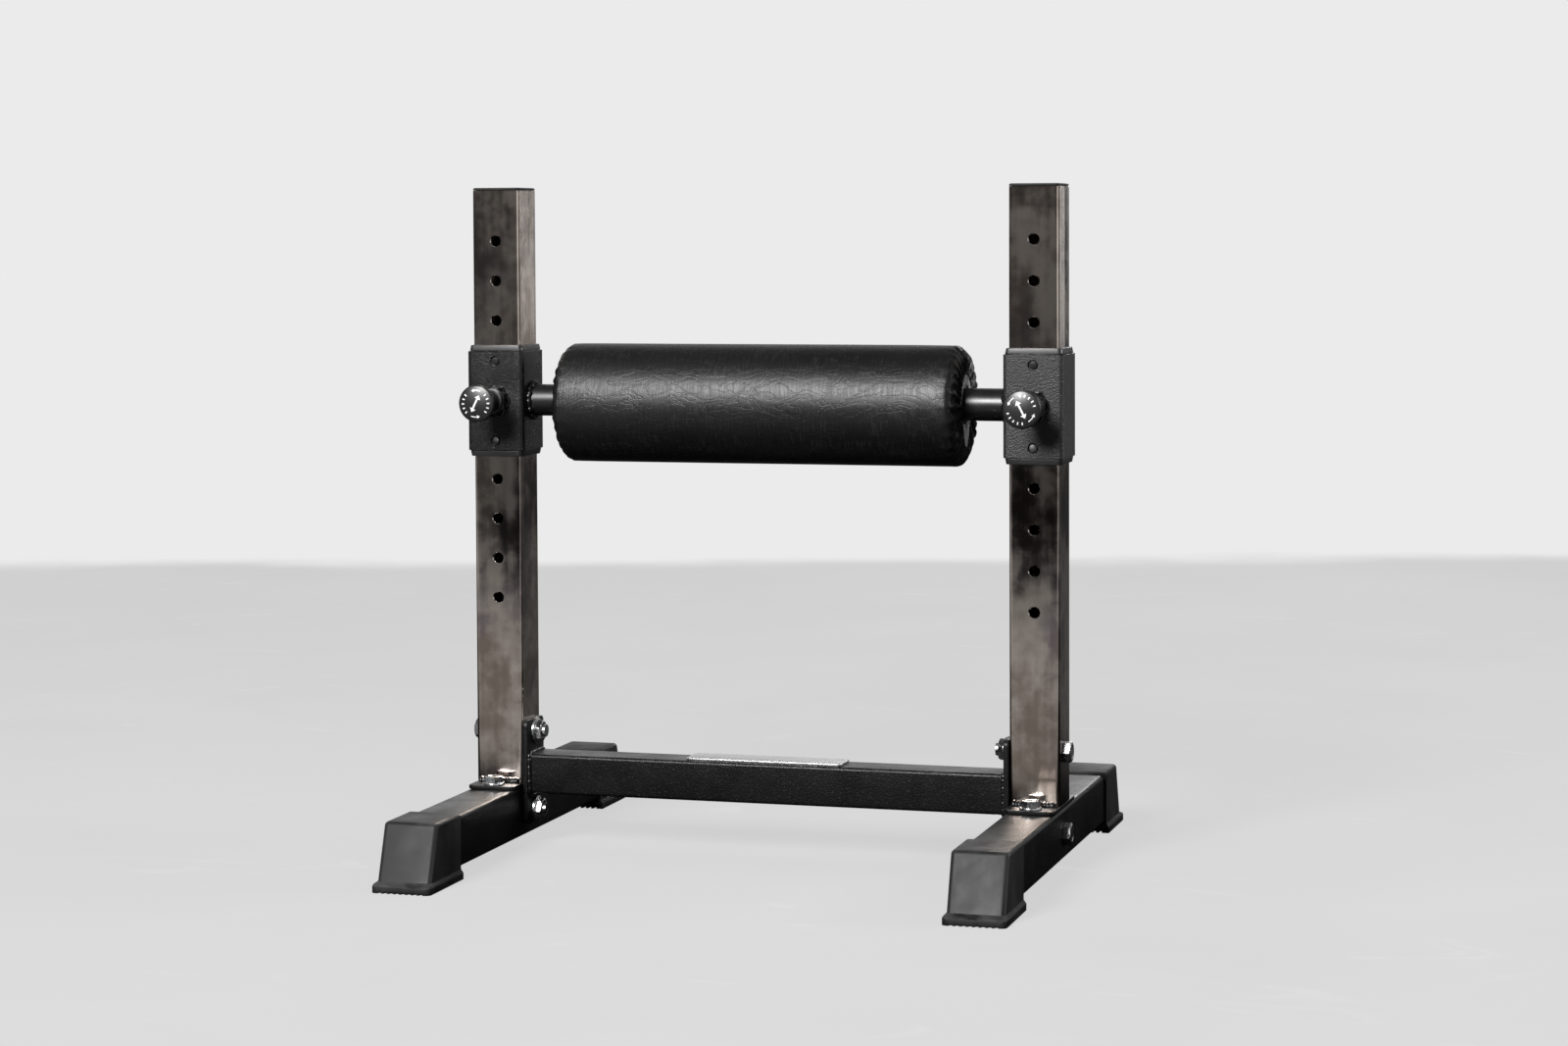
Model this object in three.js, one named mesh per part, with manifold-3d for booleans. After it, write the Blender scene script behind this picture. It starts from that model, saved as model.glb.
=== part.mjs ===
// Split squat stand: two pinned sleeves carry a padded roller between two square uprights.
// Millimetres, +Z up. +X runs along the crossbar, -Y is the front, where the pull pins are.
// The origin is on the floor, midway between the uprights.

import * as THREE from 'three';
import { mergeVertices } from 'three/addons/utils/BufferGeometryUtils.js';
import Module from 'manifold-3d';

const wasm = await Module();
wasm.setup();

// Angles and counts
const HALF_TURN = Math.PI;
const QUARTER_TURN = HALF_TURN / 2;
const CORNER_STEPS = 4;
const BUSHING_CORNER_STEPS = 2;
const COVER_STEPS = 3;
const HOLE_STEPS = 16;
const HIDDEN_STEPS = 12;
const ROUND_STEPS = 16;
const KNOB_STEPS = 24;
const ROLLER_STEPS = 32;
const BEND_STEPS = 3;

// Gaps and cuts
const FIT_GAP = 0.3;
const BOLT_CLEARANCE = 0.5;
const SLIDE_CLEARANCE = 0.4;
const CUT_OVERRUN = 1;

// Uprights
const UPRIGHT_SPACING = 553;
const UPRIGHT_SIDE = 50;
const UPRIGHT_WALL = 2.5;
const UPRIGHT_CORNER = 4;
const UPRIGHT_TOP = 663.7;
const HOLE_COUNT = 10;
const HOLE_PITCH = 40;
const HOLE_DIAMETER = 10.6;
const TOP_HOLE_DEPTH = 51;
const CARRIAGE_HOLE = 5;
const UPRIGHT_WELD = 5;
const UPRIGHT_WELD_INSET = 2;

// Plastic caps in the uprights
const CAP_FLANGE = 2.3;
const CAP_PLUG_DEPTH = 14;
const CAP_PLUG_WALL = 2;
const CAP_EDGE = 1;

// Foot tubes and their rubber covers
const FOOT_TUBE_SIDE = 50;
const FOOT_TUBE_WALL = 2.5;
const FOOT_TUBE_CORNER = 4;
const FOOT_LENGTH = 568;
const COVER_OVERHANG = 34;
const COVER_SOLE = 10.2;
const COVER_DEPTH = 85;
const COVER_WALL = 2.4;
const COVER_SIDE_WALL = 2.2;
const COVER_SKIRT_WIDTH = 60;
const COVER_SKIRT_HEIGHT = 6.3;
const COVER_SKIRT_FLARE = 3.5;
const COVER_TOE = 8.5;
const COVER_LEAN = 18.5;
const COVER_CORNER = 5;
const COVER_TOP_ROUND = 5;
const TREAD_COUNT = 8;
const TREAD_PITCH = 6;
const TREAD_WIDTH = 3.4;
const TREAD_DEPTH = 1.6;

// Plates
const BASE_PLATE_LENGTH = 103;
const BASE_PLATE_THICKNESS = 4;
const BASE_PLATE_CORNER = 6;
const END_PLATE_HEIGHT = 105;
const END_PLATE_WIDTH = 48;
const END_PLATE_THICKNESS = 5;
const END_PLATE_CORNER = 6;

// Crossbar
const BAR_SIDE = 40;
const BAR_WALL = 2;
const BAR_CORNER = 3.3;
const BAR_FORWARD = 3;
const BAR_HEIGHT = 74;
const BADGE_LENGTH = 161;
const BADGE_DEPTH = 34;
const BADGE_THICKNESS = 1.8;
const BADGE_FORWARD = 1;
const BADGE_CORNER = 4;

// Fasteners: M10 through the base plates, M12 through the crossbar's end plates
const PLATE_BOLT = { thread: 10, flats: 17, head: 6.4, nut: 8, washer: 22, washerThickness: 2 };
const BAR_BOLT = { thread: 12, flats: 19, head: 7.5, nut: 6, washer: 26, washerThickness: 2.5 };
const PLATE_BOLT_REACH = 42.2;
const PLATE_BOLT_TAIL = 2;
const BAR_BOLT_SPACING = 80;
const DOME_RADIUS = 7.8;
const NUT_BORE_DEPTH = 9;
const HEAD_CHAMFER = 1;

// Sleeves and bushings
const SLEEVE_SIDE = 60;
const SLEEVE_WALL = 2.5;
const SLEEVE_CORNER = 5;
const SLEEVE_HEIGHT = 100;
const PEG_DIAMETER = 8;
const PEG_HOLE_DIAMETER = 10;
const PEG_SPACING = 80;
const BUSHING_COLLAR_SIDE = 57;
const BUSHING_COLLAR_HEIGHT = 5.7;
const BUSHING_COLLAR_EDGE = 1;
const BUSHING_DEPTH = 26;
const PEG_SETBACK = 0.5;

// Roller, which hangs on its shaft by the play in its bore
const SHAFT_DIAMETER = 32;
const SHAFT_WALL = 2.5;
const SHAFT_WELD = 3.5;
const ROLLER_DIAMETER = 120;
const ROLLER_END_GAP = 39;
const ROLLER_OFFSET = -2;
const ROLLER_HANG = 1.8;
const ROLLER_END_ROUND = 12;
const ROLLER_EDGE_ROUND = 22;
const COVER_SKIN = 1.6;
const CORE_WALL = 2.5;
const CORE_SETBACK = 3;

// Pull pins, drawn clear of the upright at rest
const PIN_TRAVEL = 14;
const PIN_DIAMETER = 8.4;
const PIN_TIP_GAP = 1;
const PIN_TIP_CHAMFER = 1;
const PIN_GUIDE_CLEARANCE = 0.3;
const PIN_COLLAR_DIAMETER = 13.6;
const PIN_COLLAR = 1.5;
const PIN_STEM_DIAMETER = 7;
const WELD_NUT_FLATS = 27;
const WELD_NUT_LENGTH = 10.7;
const BARREL_THREAD_DIAMETER = 16.6;
const BARREL_RING_DIAMETER = 26;
const BARREL_RING = 3.5;
const BARREL_DIAMETER = 18;
const BARREL_LENGTH = 12;
const BARREL_NOSE = 1;
const BARREL_END_WALL = 2.5;
const BARREL_BORE_DIAMETER = 14.4;
const BARREL_EDGE = 0.8;
const SPRING_WIRE = 0.8;
const SPRING_TURNS = 4;
const SPRING_STEPS = 8;
const SPRING_SIDES = 5;
const KNOB_DIAMETER = 37;
const KNOB_HUB_DIAMETER = 18;
const KNOB_HUB = 2.4;
const KNOB_FLARE = 3;
const KNOB_RIM = 4.4;
const KNOB_DOME = 3;
const KNOB_SOCKET = 6;

// Levels and places that follow from the sizes above
const FOOT_TUBE_LENGTH = FOOT_LENGTH - 2 * COVER_OVERHANG;
const FOOT_TUBE_BOTTOM = COVER_SOLE + FIT_GAP;
const FOOT_TUBE_TOP = FOOT_TUBE_BOTTOM + FOOT_TUBE_SIDE;
const FOOT_TUBE_MIDDLE = FOOT_TUBE_BOTTOM + FOOT_TUBE_SIDE / 2;
const BASE_PLATE_BOTTOM = FOOT_TUBE_TOP + FIT_GAP;
const BASE_PLATE_TOP = BASE_PLATE_BOTTOM + BASE_PLATE_THICKNESS;
const UPRIGHT_BOTTOM = BASE_PLATE_TOP + FIT_GAP;
const UPRIGHT_LENGTH = UPRIGHT_TOP - UPRIGHT_BOTTOM;
const TOP_HOLE = UPRIGHT_TOP - TOP_HOLE_DEPTH;
const PIN_DROP = (HOLE_DIAMETER - PIN_DIAMETER) / 2 - FIT_GAP;
const CARRIAGE_HEIGHT = TOP_HOLE - (CARRIAGE_HOLE - 1) * HOLE_PITCH - PIN_DROP;
const ROLLER_HEIGHT = CARRIAGE_HEIGHT - ROLLER_HANG;
const LOWER_BAR_BOLT = FOOT_TUBE_MIDDLE;
const UPPER_BAR_BOLT = LOWER_BAR_BOLT + BAR_BOLT_SPACING;
const END_PLATE_MIDDLE = (LOWER_BAR_BOLT + UPPER_BAR_BOLT) / 2;
const SIDE_CENTRE = UPRIGHT_SPACING / 2;
const UPRIGHT_FACE = UPRIGHT_SIDE / 2;
const SLEEVE_FACE = SLEEVE_SIDE / 2;
const BUSHING_BORE = UPRIGHT_SIDE + 2 * SLIDE_CLEARANCE;
const BUSHING_BORE_CORNER = UPRIGHT_CORNER + SLIDE_CLEARANCE;
const BAR_LENGTH = UPRIGHT_SPACING - UPRIGHT_SIDE - 2 * (END_PLATE_THICKNESS + 2 * FIT_GAP);
const BADGE_BOTTOM = BAR_HEIGHT + BAR_SIDE / 2 + FIT_GAP;
const SHAFT_LENGTH = UPRIGHT_SPACING - SLEEVE_SIDE - 2 * FIT_GAP;
const ROLLER_LENGTH = UPRIGHT_SPACING - SLEEVE_SIDE - 2 * ROLLER_END_GAP;

// Finishes
const finish = (color, roughness, metalness) =>
  new THREE.MeshStandardMaterial({ color, roughness, metalness });
const FINISH = {
  clearedSteel: finish('#5d5450', 0.32, 0.9),
  blackPowder: finish('#17181a', 0.55, 0.4),
  blackGloss: finish('#101113', 0.25, 0.4),
  rubber: finish('#3b3c3e', 0.8, 0),
  blackPlastic: finish('#141516', 0.4, 0),
  zinc: finish('#c9cbcd', 0.25, 1),
  badge: finish('#b9babb', 0.4, 0.9),
  leather: finish('#131416', 0.45, 0),
  foam: finish('#cfd2d4', 0.9, 0),
  core: finish('#8c8f92', 0.5, 0.6),
  springSteel: finish('#9a9da0', 0.35, 1),
};

// Boolean cuts and joins

function toSolid(geometry) {
  const bare = geometry.clone();
  bare.deleteAttribute('normal');
  bare.deleteAttribute('uv');
  const merged = mergeVertices(bare, FIT_GAP / 1000);
  const mesh = new wasm.Mesh({
    numProp: 3,
    vertProperties: new Float32Array(merged.attributes.position.array),
    triVerts: new Uint32Array(merged.index.array),
  });
  return new wasm.Manifold(mesh);
}

function toGeometry(solid) {
  const mesh = solid.getMesh();
  const geometry = new THREE.BufferGeometry();
  geometry.setAttribute('position', new THREE.BufferAttribute(mesh.vertProperties, 3));
  geometry.setIndex(new THREE.BufferAttribute(mesh.triVerts, 1));
  geometry.computeVertexNormals();
  return geometry;
}

function cut(geometry, tools) {
  const result = tools.reduce((solid, tool) => solid.subtract(toSolid(tool)), toSolid(geometry));
  return toGeometry(result);
}

function join(geometries) {
  const [first, ...others] = geometries;
  const result = others.reduce((solid, other) => solid.add(toSolid(other)), toSolid(first));
  return toGeometry(result);
}

function common(first, second) {
  return toGeometry(toSolid(first).intersect(toSolid(second)));
}

// Shapes

function roundedRectangle(width, height, corner) {
  const x = width / 2;
  const y = height / 2;
  const shape = new THREE.Shape();
  shape.absarc(x - corner, y - corner, corner, 0, QUARTER_TURN);
  shape.absarc(corner - x, y - corner, corner, QUARTER_TURN, HALF_TURN);
  shape.absarc(corner - x, corner - y, corner, HALF_TURN, 3 * QUARTER_TURN);
  shape.absarc(x - corner, corner - y, corner, 3 * QUARTER_TURN, 2 * HALF_TURN);
  shape.closePath();
  return shape;
}

function roundHole(x, y, diameter) {
  const hole = new THREE.Path();
  hole.absarc(x, y, diameter / 2, 0, 2 * HALF_TURN, true);
  return hole;
}

function extruded(shape, depth, curveSegments = CORNER_STEPS) {
  return new THREE.ExtrudeGeometry(shape, { depth, curveSegments, bevelEnabled: false });
}

// A plate or tube end whose upper outer edge is broken by a small bevel
function edgedSlab(width, depth, corner, height, edge) {
  const shape = roundedRectangle(width - 2 * edge, depth - 2 * edge, corner - edge);
  const slab = new THREE.ExtrudeGeometry(shape, {
    depth: height - 2 * edge,
    curveSegments: CORNER_STEPS,
    bevelSize: edge,
    bevelThickness: edge,
    bevelSegments: 1,
  });
  return slab.translate(0, 0, edge);
}

// A square tube standing on its lower end, with its axis on Z
function squareTube(side, wall, corner, length) {
  const shape = roundedRectangle(side, side, corner);
  const inside = side - 2 * wall;
  const insideCorner = Math.max(corner - wall, wall / 2);
  shape.holes.push(roundedRectangle(inside, inside, insideCorner));
  return extruded(shape, length);
}

// A straight round cutter or pin, centred on its middle, along 'x', 'y' or 'z'
function roundBar(diameter, length, axis, steps = HOLE_STEPS) {
  const bar = new THREE.CylinderGeometry(diameter / 2, diameter / 2, length, steps);
  if (axis === 'x') bar.rotateZ(QUARTER_TURN);
  if (axis === 'z') bar.rotateX(QUARTER_TURN);
  return bar;
}

// A profile of [radius, height] points turned about the Y axis
function turned(profile, steps = ROUND_STEPS) {
  const points = profile.map(([radius, height]) => new THREE.Vector2(radius, height));
  return new THREE.LatheGeometry(points, steps);
}

// Points of a quarter bend, as [radius, height], from one angle to another
function bend(centreRadius, centreHeight, across, along, from, to) {
  return Array.from({ length: BEND_STEPS + 1 }, (_, step) => {
    const angle = from + ((to - from) * step) / BEND_STEPS;
    return [centreRadius + across * Math.cos(angle), centreHeight + along * Math.sin(angle)];
  });
}

function hexagonalPrism(flats, height) {
  const corner = flats / Math.sqrt(3);
  return new THREE.CylinderGeometry(corner, corner, height, 6).rotateX(QUARTER_TURN)
    .translate(0, 0, height / 2);
}

// A closed body through equal rings of points, each ring level at its own height
function lofted(rings) {
  const count = rings[0].length;
  const position = rings.flat().flat();
  const index = [];
  for (let level = 0; level + 1 < rings.length; level += 1) {
    for (let point = 0; point < count; point += 1) {
      const next = (point + 1) % count;
      const a = level * count + point;
      const b = level * count + next;
      index.push(a, b, b + count, a, b + count, a + count);
    }
  }
  const top = (rings.length - 1) * count;
  for (let point = 1; point + 1 < count; point += 1) {
    index.push(0, point + 1, point);
    index.push(top, top + point, top + point + 1);
  }
  const geometry = new THREE.BufferGeometry();
  geometry.setAttribute('position', new THREE.Float32BufferAttribute(position, 3));
  geometry.setIndex(index);
  geometry.computeVertexNormals();
  return geometry;
}

// Placing

const stand = new THREE.Group();

function place(name, geometry, material, x, y, z) {
  const mesh = new THREE.Mesh(geometry, material);
  mesh.name = name;
  mesh.position.set(x, y, z);
  stand.add(mesh);
  return mesh;
}

const SIDES = [{ label: 'left', sign: -1 }, { label: 'right', sign: 1 }];
const ENDS = [{ label: 'front', sign: -1 }, { label: 'rear', sign: 1 }];

// Upright, with its row of holes in the front wall and the crossbar bolt's holes through its sides

function uprightWeld() {
  const toe = new THREE.Shape();
  toe.moveTo(0, 0);
  toe.lineTo(UPRIGHT_WELD, 0);
  toe.lineTo(0, UPRIGHT_WELD);
  toe.closePath();
  const width = UPRIGHT_SIDE - 2 * UPRIGHT_WELD_INSET - 2 * UPRIGHT_CORNER;
  const root = UPRIGHT_WALL / 2;
  const bead = extruded(toe, width).rotateX(QUARTER_TURN).rotateZ(QUARTER_TURN);
  bead.translate(-width / 2, UPRIGHT_FACE, 0);
  const foot = new THREE.BoxGeometry(width, 2 * root, UPRIGHT_WELD);
  foot.translate(0, UPRIGHT_FACE - root, UPRIGHT_WELD / 2);
  return join([bead, foot]);
}

function upright() {
  const tube = squareTube(UPRIGHT_SIDE, UPRIGHT_WALL, UPRIGHT_CORNER, UPRIGHT_LENGTH);
  const rearWeld = uprightWeld();
  const frontWeld = rearWeld.clone().rotateZ(HALF_TURN);
  const depth = UPRIGHT_WALL + 2 * CUT_OVERRUN;
  const middle = UPRIGHT_WALL / 2 - UPRIGHT_FACE;
  const holes = Array.from({ length: HOLE_COUNT }, (_, number) => {
    const height = TOP_HOLE - number * HOLE_PITCH - UPRIGHT_BOTTOM;
    return roundBar(HOLE_DIAMETER, depth, 'y').translate(0, middle, height);
  });
  const through = UPRIGHT_SIDE + 2 * CUT_OVERRUN;
  const boltHole = roundBar(BAR_BOLT.thread + 2 * BOLT_CLEARANCE, through, 'x', HIDDEN_STEPS);
  boltHole.translate(0, -BAR_FORWARD, UPPER_BAR_BOLT - UPRIGHT_BOTTOM);
  return cut(join([tube, frontWeld, rearWeld]), [...holes, boltHole]);
}

function uprightCap() {
  const flange = edgedSlab(UPRIGHT_SIDE, UPRIGHT_SIDE, UPRIGHT_CORNER, CAP_FLANGE, CAP_EDGE);
  const side = UPRIGHT_SIDE - 2 * (UPRIGHT_WALL + FIT_GAP);
  const shape = roundedRectangle(side, side, CAP_PLUG_WALL);
  const inside = side - 2 * CAP_PLUG_WALL;
  shape.holes.push(roundedRectangle(inside, inside, CAP_PLUG_WALL / 2));
  const plug = extruded(shape, CAP_PLUG_DEPTH + CAP_FLANGE / 2, 1);
  return join([flange, plug.translate(0, 0, -CAP_PLUG_DEPTH)]);
}

function basePlate() {
  const shape = roundedRectangle(FOOT_TUBE_SIDE, BASE_PLATE_LENGTH, BASE_PLATE_CORNER);
  const diameter = PLATE_BOLT.thread + 2 * BOLT_CLEARANCE;
  ENDS.forEach(({ sign }) => shape.holes.push(roundHole(0, sign * PLATE_BOLT_REACH, diameter)));
  return extruded(shape, BASE_PLATE_THICKNESS);
}

function footTube() {
  const tube = squareTube(FOOT_TUBE_SIDE, FOOT_TUBE_WALL, FOOT_TUBE_CORNER, FOOT_TUBE_LENGTH);
  tube.translate(0, 0, -FOOT_TUBE_LENGTH / 2).rotateX(QUARTER_TURN);
  const through = FOOT_TUBE_SIDE + 2 * CUT_OVERRUN;
  const sideHole = roundBar(BAR_BOLT.thread + 2 * BOLT_CLEARANCE, through, 'x', HIDDEN_STEPS);
  sideHole.translate(0, -BAR_FORWARD, LOWER_BAR_BOLT - FOOT_TUBE_MIDDLE);
  const topHoles = ENDS.map(({ sign }) => {
    const depth = FOOT_TUBE_WALL + 2 * CUT_OVERRUN;
    const height = (FOOT_TUBE_SIDE - FOOT_TUBE_WALL) / 2;
    const hole = roundBar(PLATE_BOLT.thread + 2 * BOLT_CLEARANCE, depth, 'z', HIDDEN_STEPS);
    return hole.translate(0, sign * PLATE_BOLT_REACH, height);
  });
  return cut(tube, [sideHole, ...topHoles]);
}

// Rubber cover on the end of a foot tube. Its toe points to +Y, and Y is zero at its open back.

function coverRing(height, length, halfWidth, inset) {
  const corner = COVER_CORNER;
  const y = length - inset - corner;
  const x = halfWidth - inset - corner;
  const ring = [[inset - halfWidth, 0, height], [halfWidth - inset, 0, height]];
  for (let step = 0; step <= COVER_STEPS; step += 1) {
    const angle = (QUARTER_TURN * step) / COVER_STEPS;
    ring.push([x + corner * Math.cos(angle), y + corner * Math.sin(angle), height]);
  }
  for (let step = 0; step <= COVER_STEPS; step += 1) {
    const angle = QUARTER_TURN + (QUARTER_TURN * step) / COVER_STEPS;
    ring.push([-x + corner * Math.cos(angle), y + corner * Math.sin(angle), height]);
  }
  return ring;
}

function footCover() {
  const halfSkirt = COVER_SKIRT_WIDTH / 2;
  const halfBody = FOOT_TUBE_SIDE / 2 + COVER_SIDE_WALL + FIT_GAP;
  const top = FOOT_TUBE_TOP + FIT_GAP + COVER_WALL;
  const bodyBottom = COVER_SKIRT_HEIGHT + COVER_SKIRT_FLARE;
  const bodyLength = COVER_DEPTH - COVER_TOE;
  const shoulder = top - COVER_TOP_ROUND;
  const lean = (height) => bodyLength - (COVER_LEAN * (height - bodyBottom)) / (top - bodyBottom);
  const rings = [
    coverRing(0, COVER_DEPTH, halfSkirt, 0),
    coverRing(COVER_SKIRT_HEIGHT, COVER_DEPTH, halfSkirt, 0),
    coverRing(bodyBottom, bodyLength, halfBody, 0),
  ];
  for (let step = 0; step <= COVER_STEPS; step += 1) {
    const angle = (QUARTER_TURN * step) / COVER_STEPS;
    const height = shoulder + COVER_TOP_ROUND * Math.sin(angle);
    const inset = COVER_TOP_ROUND * (1 - Math.cos(angle));
    rings.push(coverRing(height, lean(height), halfBody, inset * (halfBody - COVER_CORNER) / halfBody));
  }
  const pocketSide = FOOT_TUBE_SIDE + 2 * FIT_GAP;
  const pocketDepth = COVER_DEPTH - COVER_OVERHANG + FIT_GAP;
  const pocket = extruded(
    roundedRectangle(pocketSide, pocketSide, FOOT_TUBE_CORNER + FIT_GAP),
    pocketDepth + CUT_OVERRUN,
  );
  pocket.rotateX(-QUARTER_TURN).translate(0, -CUT_OVERRUN, FOOT_TUBE_MIDDLE);
  const treads = Array.from({ length: TREAD_COUNT }, (_, number) => {
    const height = TREAD_DEPTH + CUT_OVERRUN;
    const groove = new THREE.BoxGeometry(TREAD_WIDTH, COVER_DEPTH + 2 * CUT_OVERRUN, height);
    const x = (number - (TREAD_COUNT - 1) / 2) * TREAD_PITCH;
    return groove.translate(x, COVER_DEPTH / 2, TREAD_DEPTH - height / 2);
  });
  return cut(lofted(rings), [pocket, ...treads]);
}

// Crossbar with its welded end plates and the bare badge plate on top

function crossbarTube() {
  const length = BAR_LENGTH;
  return squareTube(BAR_SIDE, BAR_WALL, BAR_CORNER, length)
    .translate(0, 0, -length / 2)
    .rotateY(QUARTER_TURN);
}

function endPlate() {
  const shape = roundedRectangle(END_PLATE_WIDTH, END_PLATE_HEIGHT, END_PLATE_CORNER);
  const diameter = BAR_BOLT.thread + 2 * BOLT_CLEARANCE;
  [LOWER_BAR_BOLT, UPPER_BAR_BOLT].forEach((height) => {
    shape.holes.push(roundHole(0, height - END_PLATE_MIDDLE, diameter));
  });
  return extruded(shape, END_PLATE_THICKNESS)
    .translate(0, 0, -END_PLATE_THICKNESS / 2)
    .rotateX(QUARTER_TURN)
    .rotateZ(QUARTER_TURN);
}

function badgePlate() {
  return extruded(roundedRectangle(BADGE_LENGTH, BADGE_DEPTH, BADGE_CORNER), BADGE_THICKNESS);
}

// Fasteners, each with its axis on Z and its seat at zero

// A hexagon whose outer corners are turned off; its seat is at zero and it rises
function hexHead(flats, height) {
  const reach = flats / Math.sqrt(3) + CUT_OVERRUN;
  const face = flats / 2 - HEAD_CHAMFER / 2;
  const fall = (reach - face) / Math.sqrt(3);
  const limits = turned([[0, 0], [reach, 0], [reach, height - fall], [face, height], [0, height]]);
  return common(hexagonalPrism(flats, height), limits.rotateX(QUARTER_TURN));
}

// Head upwards, shank downwards
function bolt(size, shankLength) {
  const overlap = size.head / 2;
  const shank = roundBar(size.thread, shankLength + overlap, 'z', HIDDEN_STEPS);
  shank.translate(0, 0, overlap - (shankLength + overlap) / 2);
  return join([hexHead(size.flats, size.head), shank]);
}

function washer(size) {
  const shape = new THREE.Shape();
  shape.absarc(0, 0, size.washer / 2, 0, 2 * HALF_TURN);
  shape.holes.push(roundHole(0, 0, size.thread + 2 * BOLT_CLEARANCE));
  return extruded(shape, size.washerThickness, ROUND_STEPS / 2);
}

function acornNut(size) {
  const dome = turned([
    [0, size.nut / 2],
    [DOME_RADIUS, size.nut / 2],
    ...bend(0, size.nut, DOME_RADIUS, DOME_RADIUS, 0, QUARTER_TURN).slice(0, -1),
    [0, size.nut + DOME_RADIUS],
  ]);
  const bore = roundBar(size.thread + 2 * FIT_GAP, NUT_BORE_DEPTH + CUT_OVERRUN, 'z', HIDDEN_STEPS);
  bore.translate(0, 0, (NUT_BORE_DEPTH - CUT_OVERRUN) / 2);
  return cut(join([hexHead(size.flats, size.nut), dome.rotateX(QUARTER_TURN)]), [bore]);
}

function weldNut(flats, length, boreDiameter) {
  const bore = roundBar(boreDiameter, length + 2 * CUT_OVERRUN, 'z', HIDDEN_STEPS);
  return cut(hexagonalPrism(flats, length), [bore.translate(0, 0, length / 2)]);
}

// Frame: both sides, then the crossbar between them

SIDES.forEach(({ label, sign }) => {
  const x = sign * SIDE_CENTRE;
  place(`${label}_upright`, upright(), FINISH.clearedSteel, x, 0, UPRIGHT_BOTTOM);
  place(`${label}_upright_cap`, uprightCap(), FINISH.blackPlastic, x, 0, UPRIGHT_TOP + FIT_GAP);
  place(`${label}_base_plate`, basePlate(), FINISH.blackPowder, x, 0, BASE_PLATE_BOTTOM);
  place(`${label}_foot_tube`, footTube(), FINISH.blackPowder, x, 0, FOOT_TUBE_MIDDLE);

  ENDS.forEach((end) => {
    const back = end.sign * (FOOT_LENGTH / 2 - COVER_DEPTH);
    const cover = place(`${label}_${end.label}_foot_cover`, footCover(), FINISH.rubber, x, back, 0);
    if (end.sign < 0) cover.rotation.z = HALF_TURN;

    const y = end.sign * PLATE_BOLT_REACH;
    const washerSeat = BASE_PLATE_TOP + FIT_GAP;
    const headSeat = washerSeat + PLATE_BOLT.washerThickness + FIT_GAP;
    const nutTop = FOOT_TUBE_TOP - FOOT_TUBE_WALL - FIT_GAP;
    const nutBottom = nutTop - PLATE_BOLT.nut;
    const shank = headSeat - nutBottom + PLATE_BOLT_TAIL;
    const name = `${label}_${end.label}_plate`;
    place(`${name}_bolt`, bolt(PLATE_BOLT, shank), FINISH.zinc, x, y, headSeat);
    place(`${name}_washer`, washer(PLATE_BOLT), FINISH.zinc, x, y, washerSeat);
    const nut = weldNut(PLATE_BOLT.flats, PLATE_BOLT.nut, PLATE_BOLT.thread + 2 * FIT_GAP);
    place(`${name}_weld_nut`, nut, FINISH.zinc, x, y, nutBottom);
  });

  const inner = x - sign * UPRIGHT_FACE;
  const plateX = inner - sign * (FIT_GAP + END_PLATE_THICKNESS / 2);
  place(`${label}_crossbar_plate`, endPlate(), FINISH.blackPowder, plateX, -BAR_FORWARD, END_PLATE_MIDDLE);

  const levels = [
    { level: 'upper', height: UPPER_BAR_BOLT },
    { level: 'lower', height: LOWER_BAR_BOLT },
  ];
  levels.forEach(({ level, height }) => {
    const headSeat = x + sign * (UPRIGHT_FACE + FIT_GAP);
    const washerSeat = inner - sign * (2 * FIT_GAP + END_PLATE_THICKNESS);
    const nutSeat = washerSeat - sign * (BAR_BOLT.washerThickness + FIT_GAP);
    const shank = Math.abs(headSeat - nutSeat) + NUT_BORE_DEPTH - FIT_GAP;
    const name = `${label}_${level}_crossbar`;
    const y = -BAR_FORWARD;
    const head = place(`${name}_bolt`, bolt(BAR_BOLT, shank), FINISH.zinc, headSeat, y, height);
    head.rotation.y = sign * QUARTER_TURN;
    const disc = place(`${name}_washer`, washer(BAR_BOLT), FINISH.zinc, washerSeat, y, height);
    disc.rotation.y = -sign * QUARTER_TURN;
    const nut = place(`${name}_acorn_nut`, acornNut(BAR_BOLT), FINISH.zinc, nutSeat, y, height);
    nut.rotation.y = -sign * QUARTER_TURN;
  });
});

place('crossbar_tube', crossbarTube(), FINISH.blackPowder, 0, -BAR_FORWARD, BAR_HEIGHT);
place('badge_plate', badgePlate(), FINISH.badge, 0, -BADGE_FORWARD, BADGE_BOTTOM);

// Sleeve that slides on an upright, and the two bushings pegged into it

function sleeve() {
  const tube = squareTube(SLEEVE_SIDE, SLEEVE_WALL, SLEEVE_CORNER, SLEEVE_HEIGHT);
  tube.translate(0, 0, -SLEEVE_HEIGHT / 2);
  const depth = SLEEVE_WALL + 2 * CUT_OVERRUN;
  const wallMiddle = SLEEVE_WALL / 2 - SLEEVE_FACE;
  const pegHoles = [-1, 1].map((sign) =>
    roundBar(PEG_HOLE_DIAMETER, depth, 'y').translate(0, wallMiddle, (sign * PEG_SPACING) / 2));
  const pinHole = roundBar(PIN_DIAMETER + 2 * PIN_GUIDE_CLEARANCE, depth, 'y');
  return cut(tube, [...pegHoles, pinHole.translate(0, wallMiddle, 0)]);
}

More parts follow.
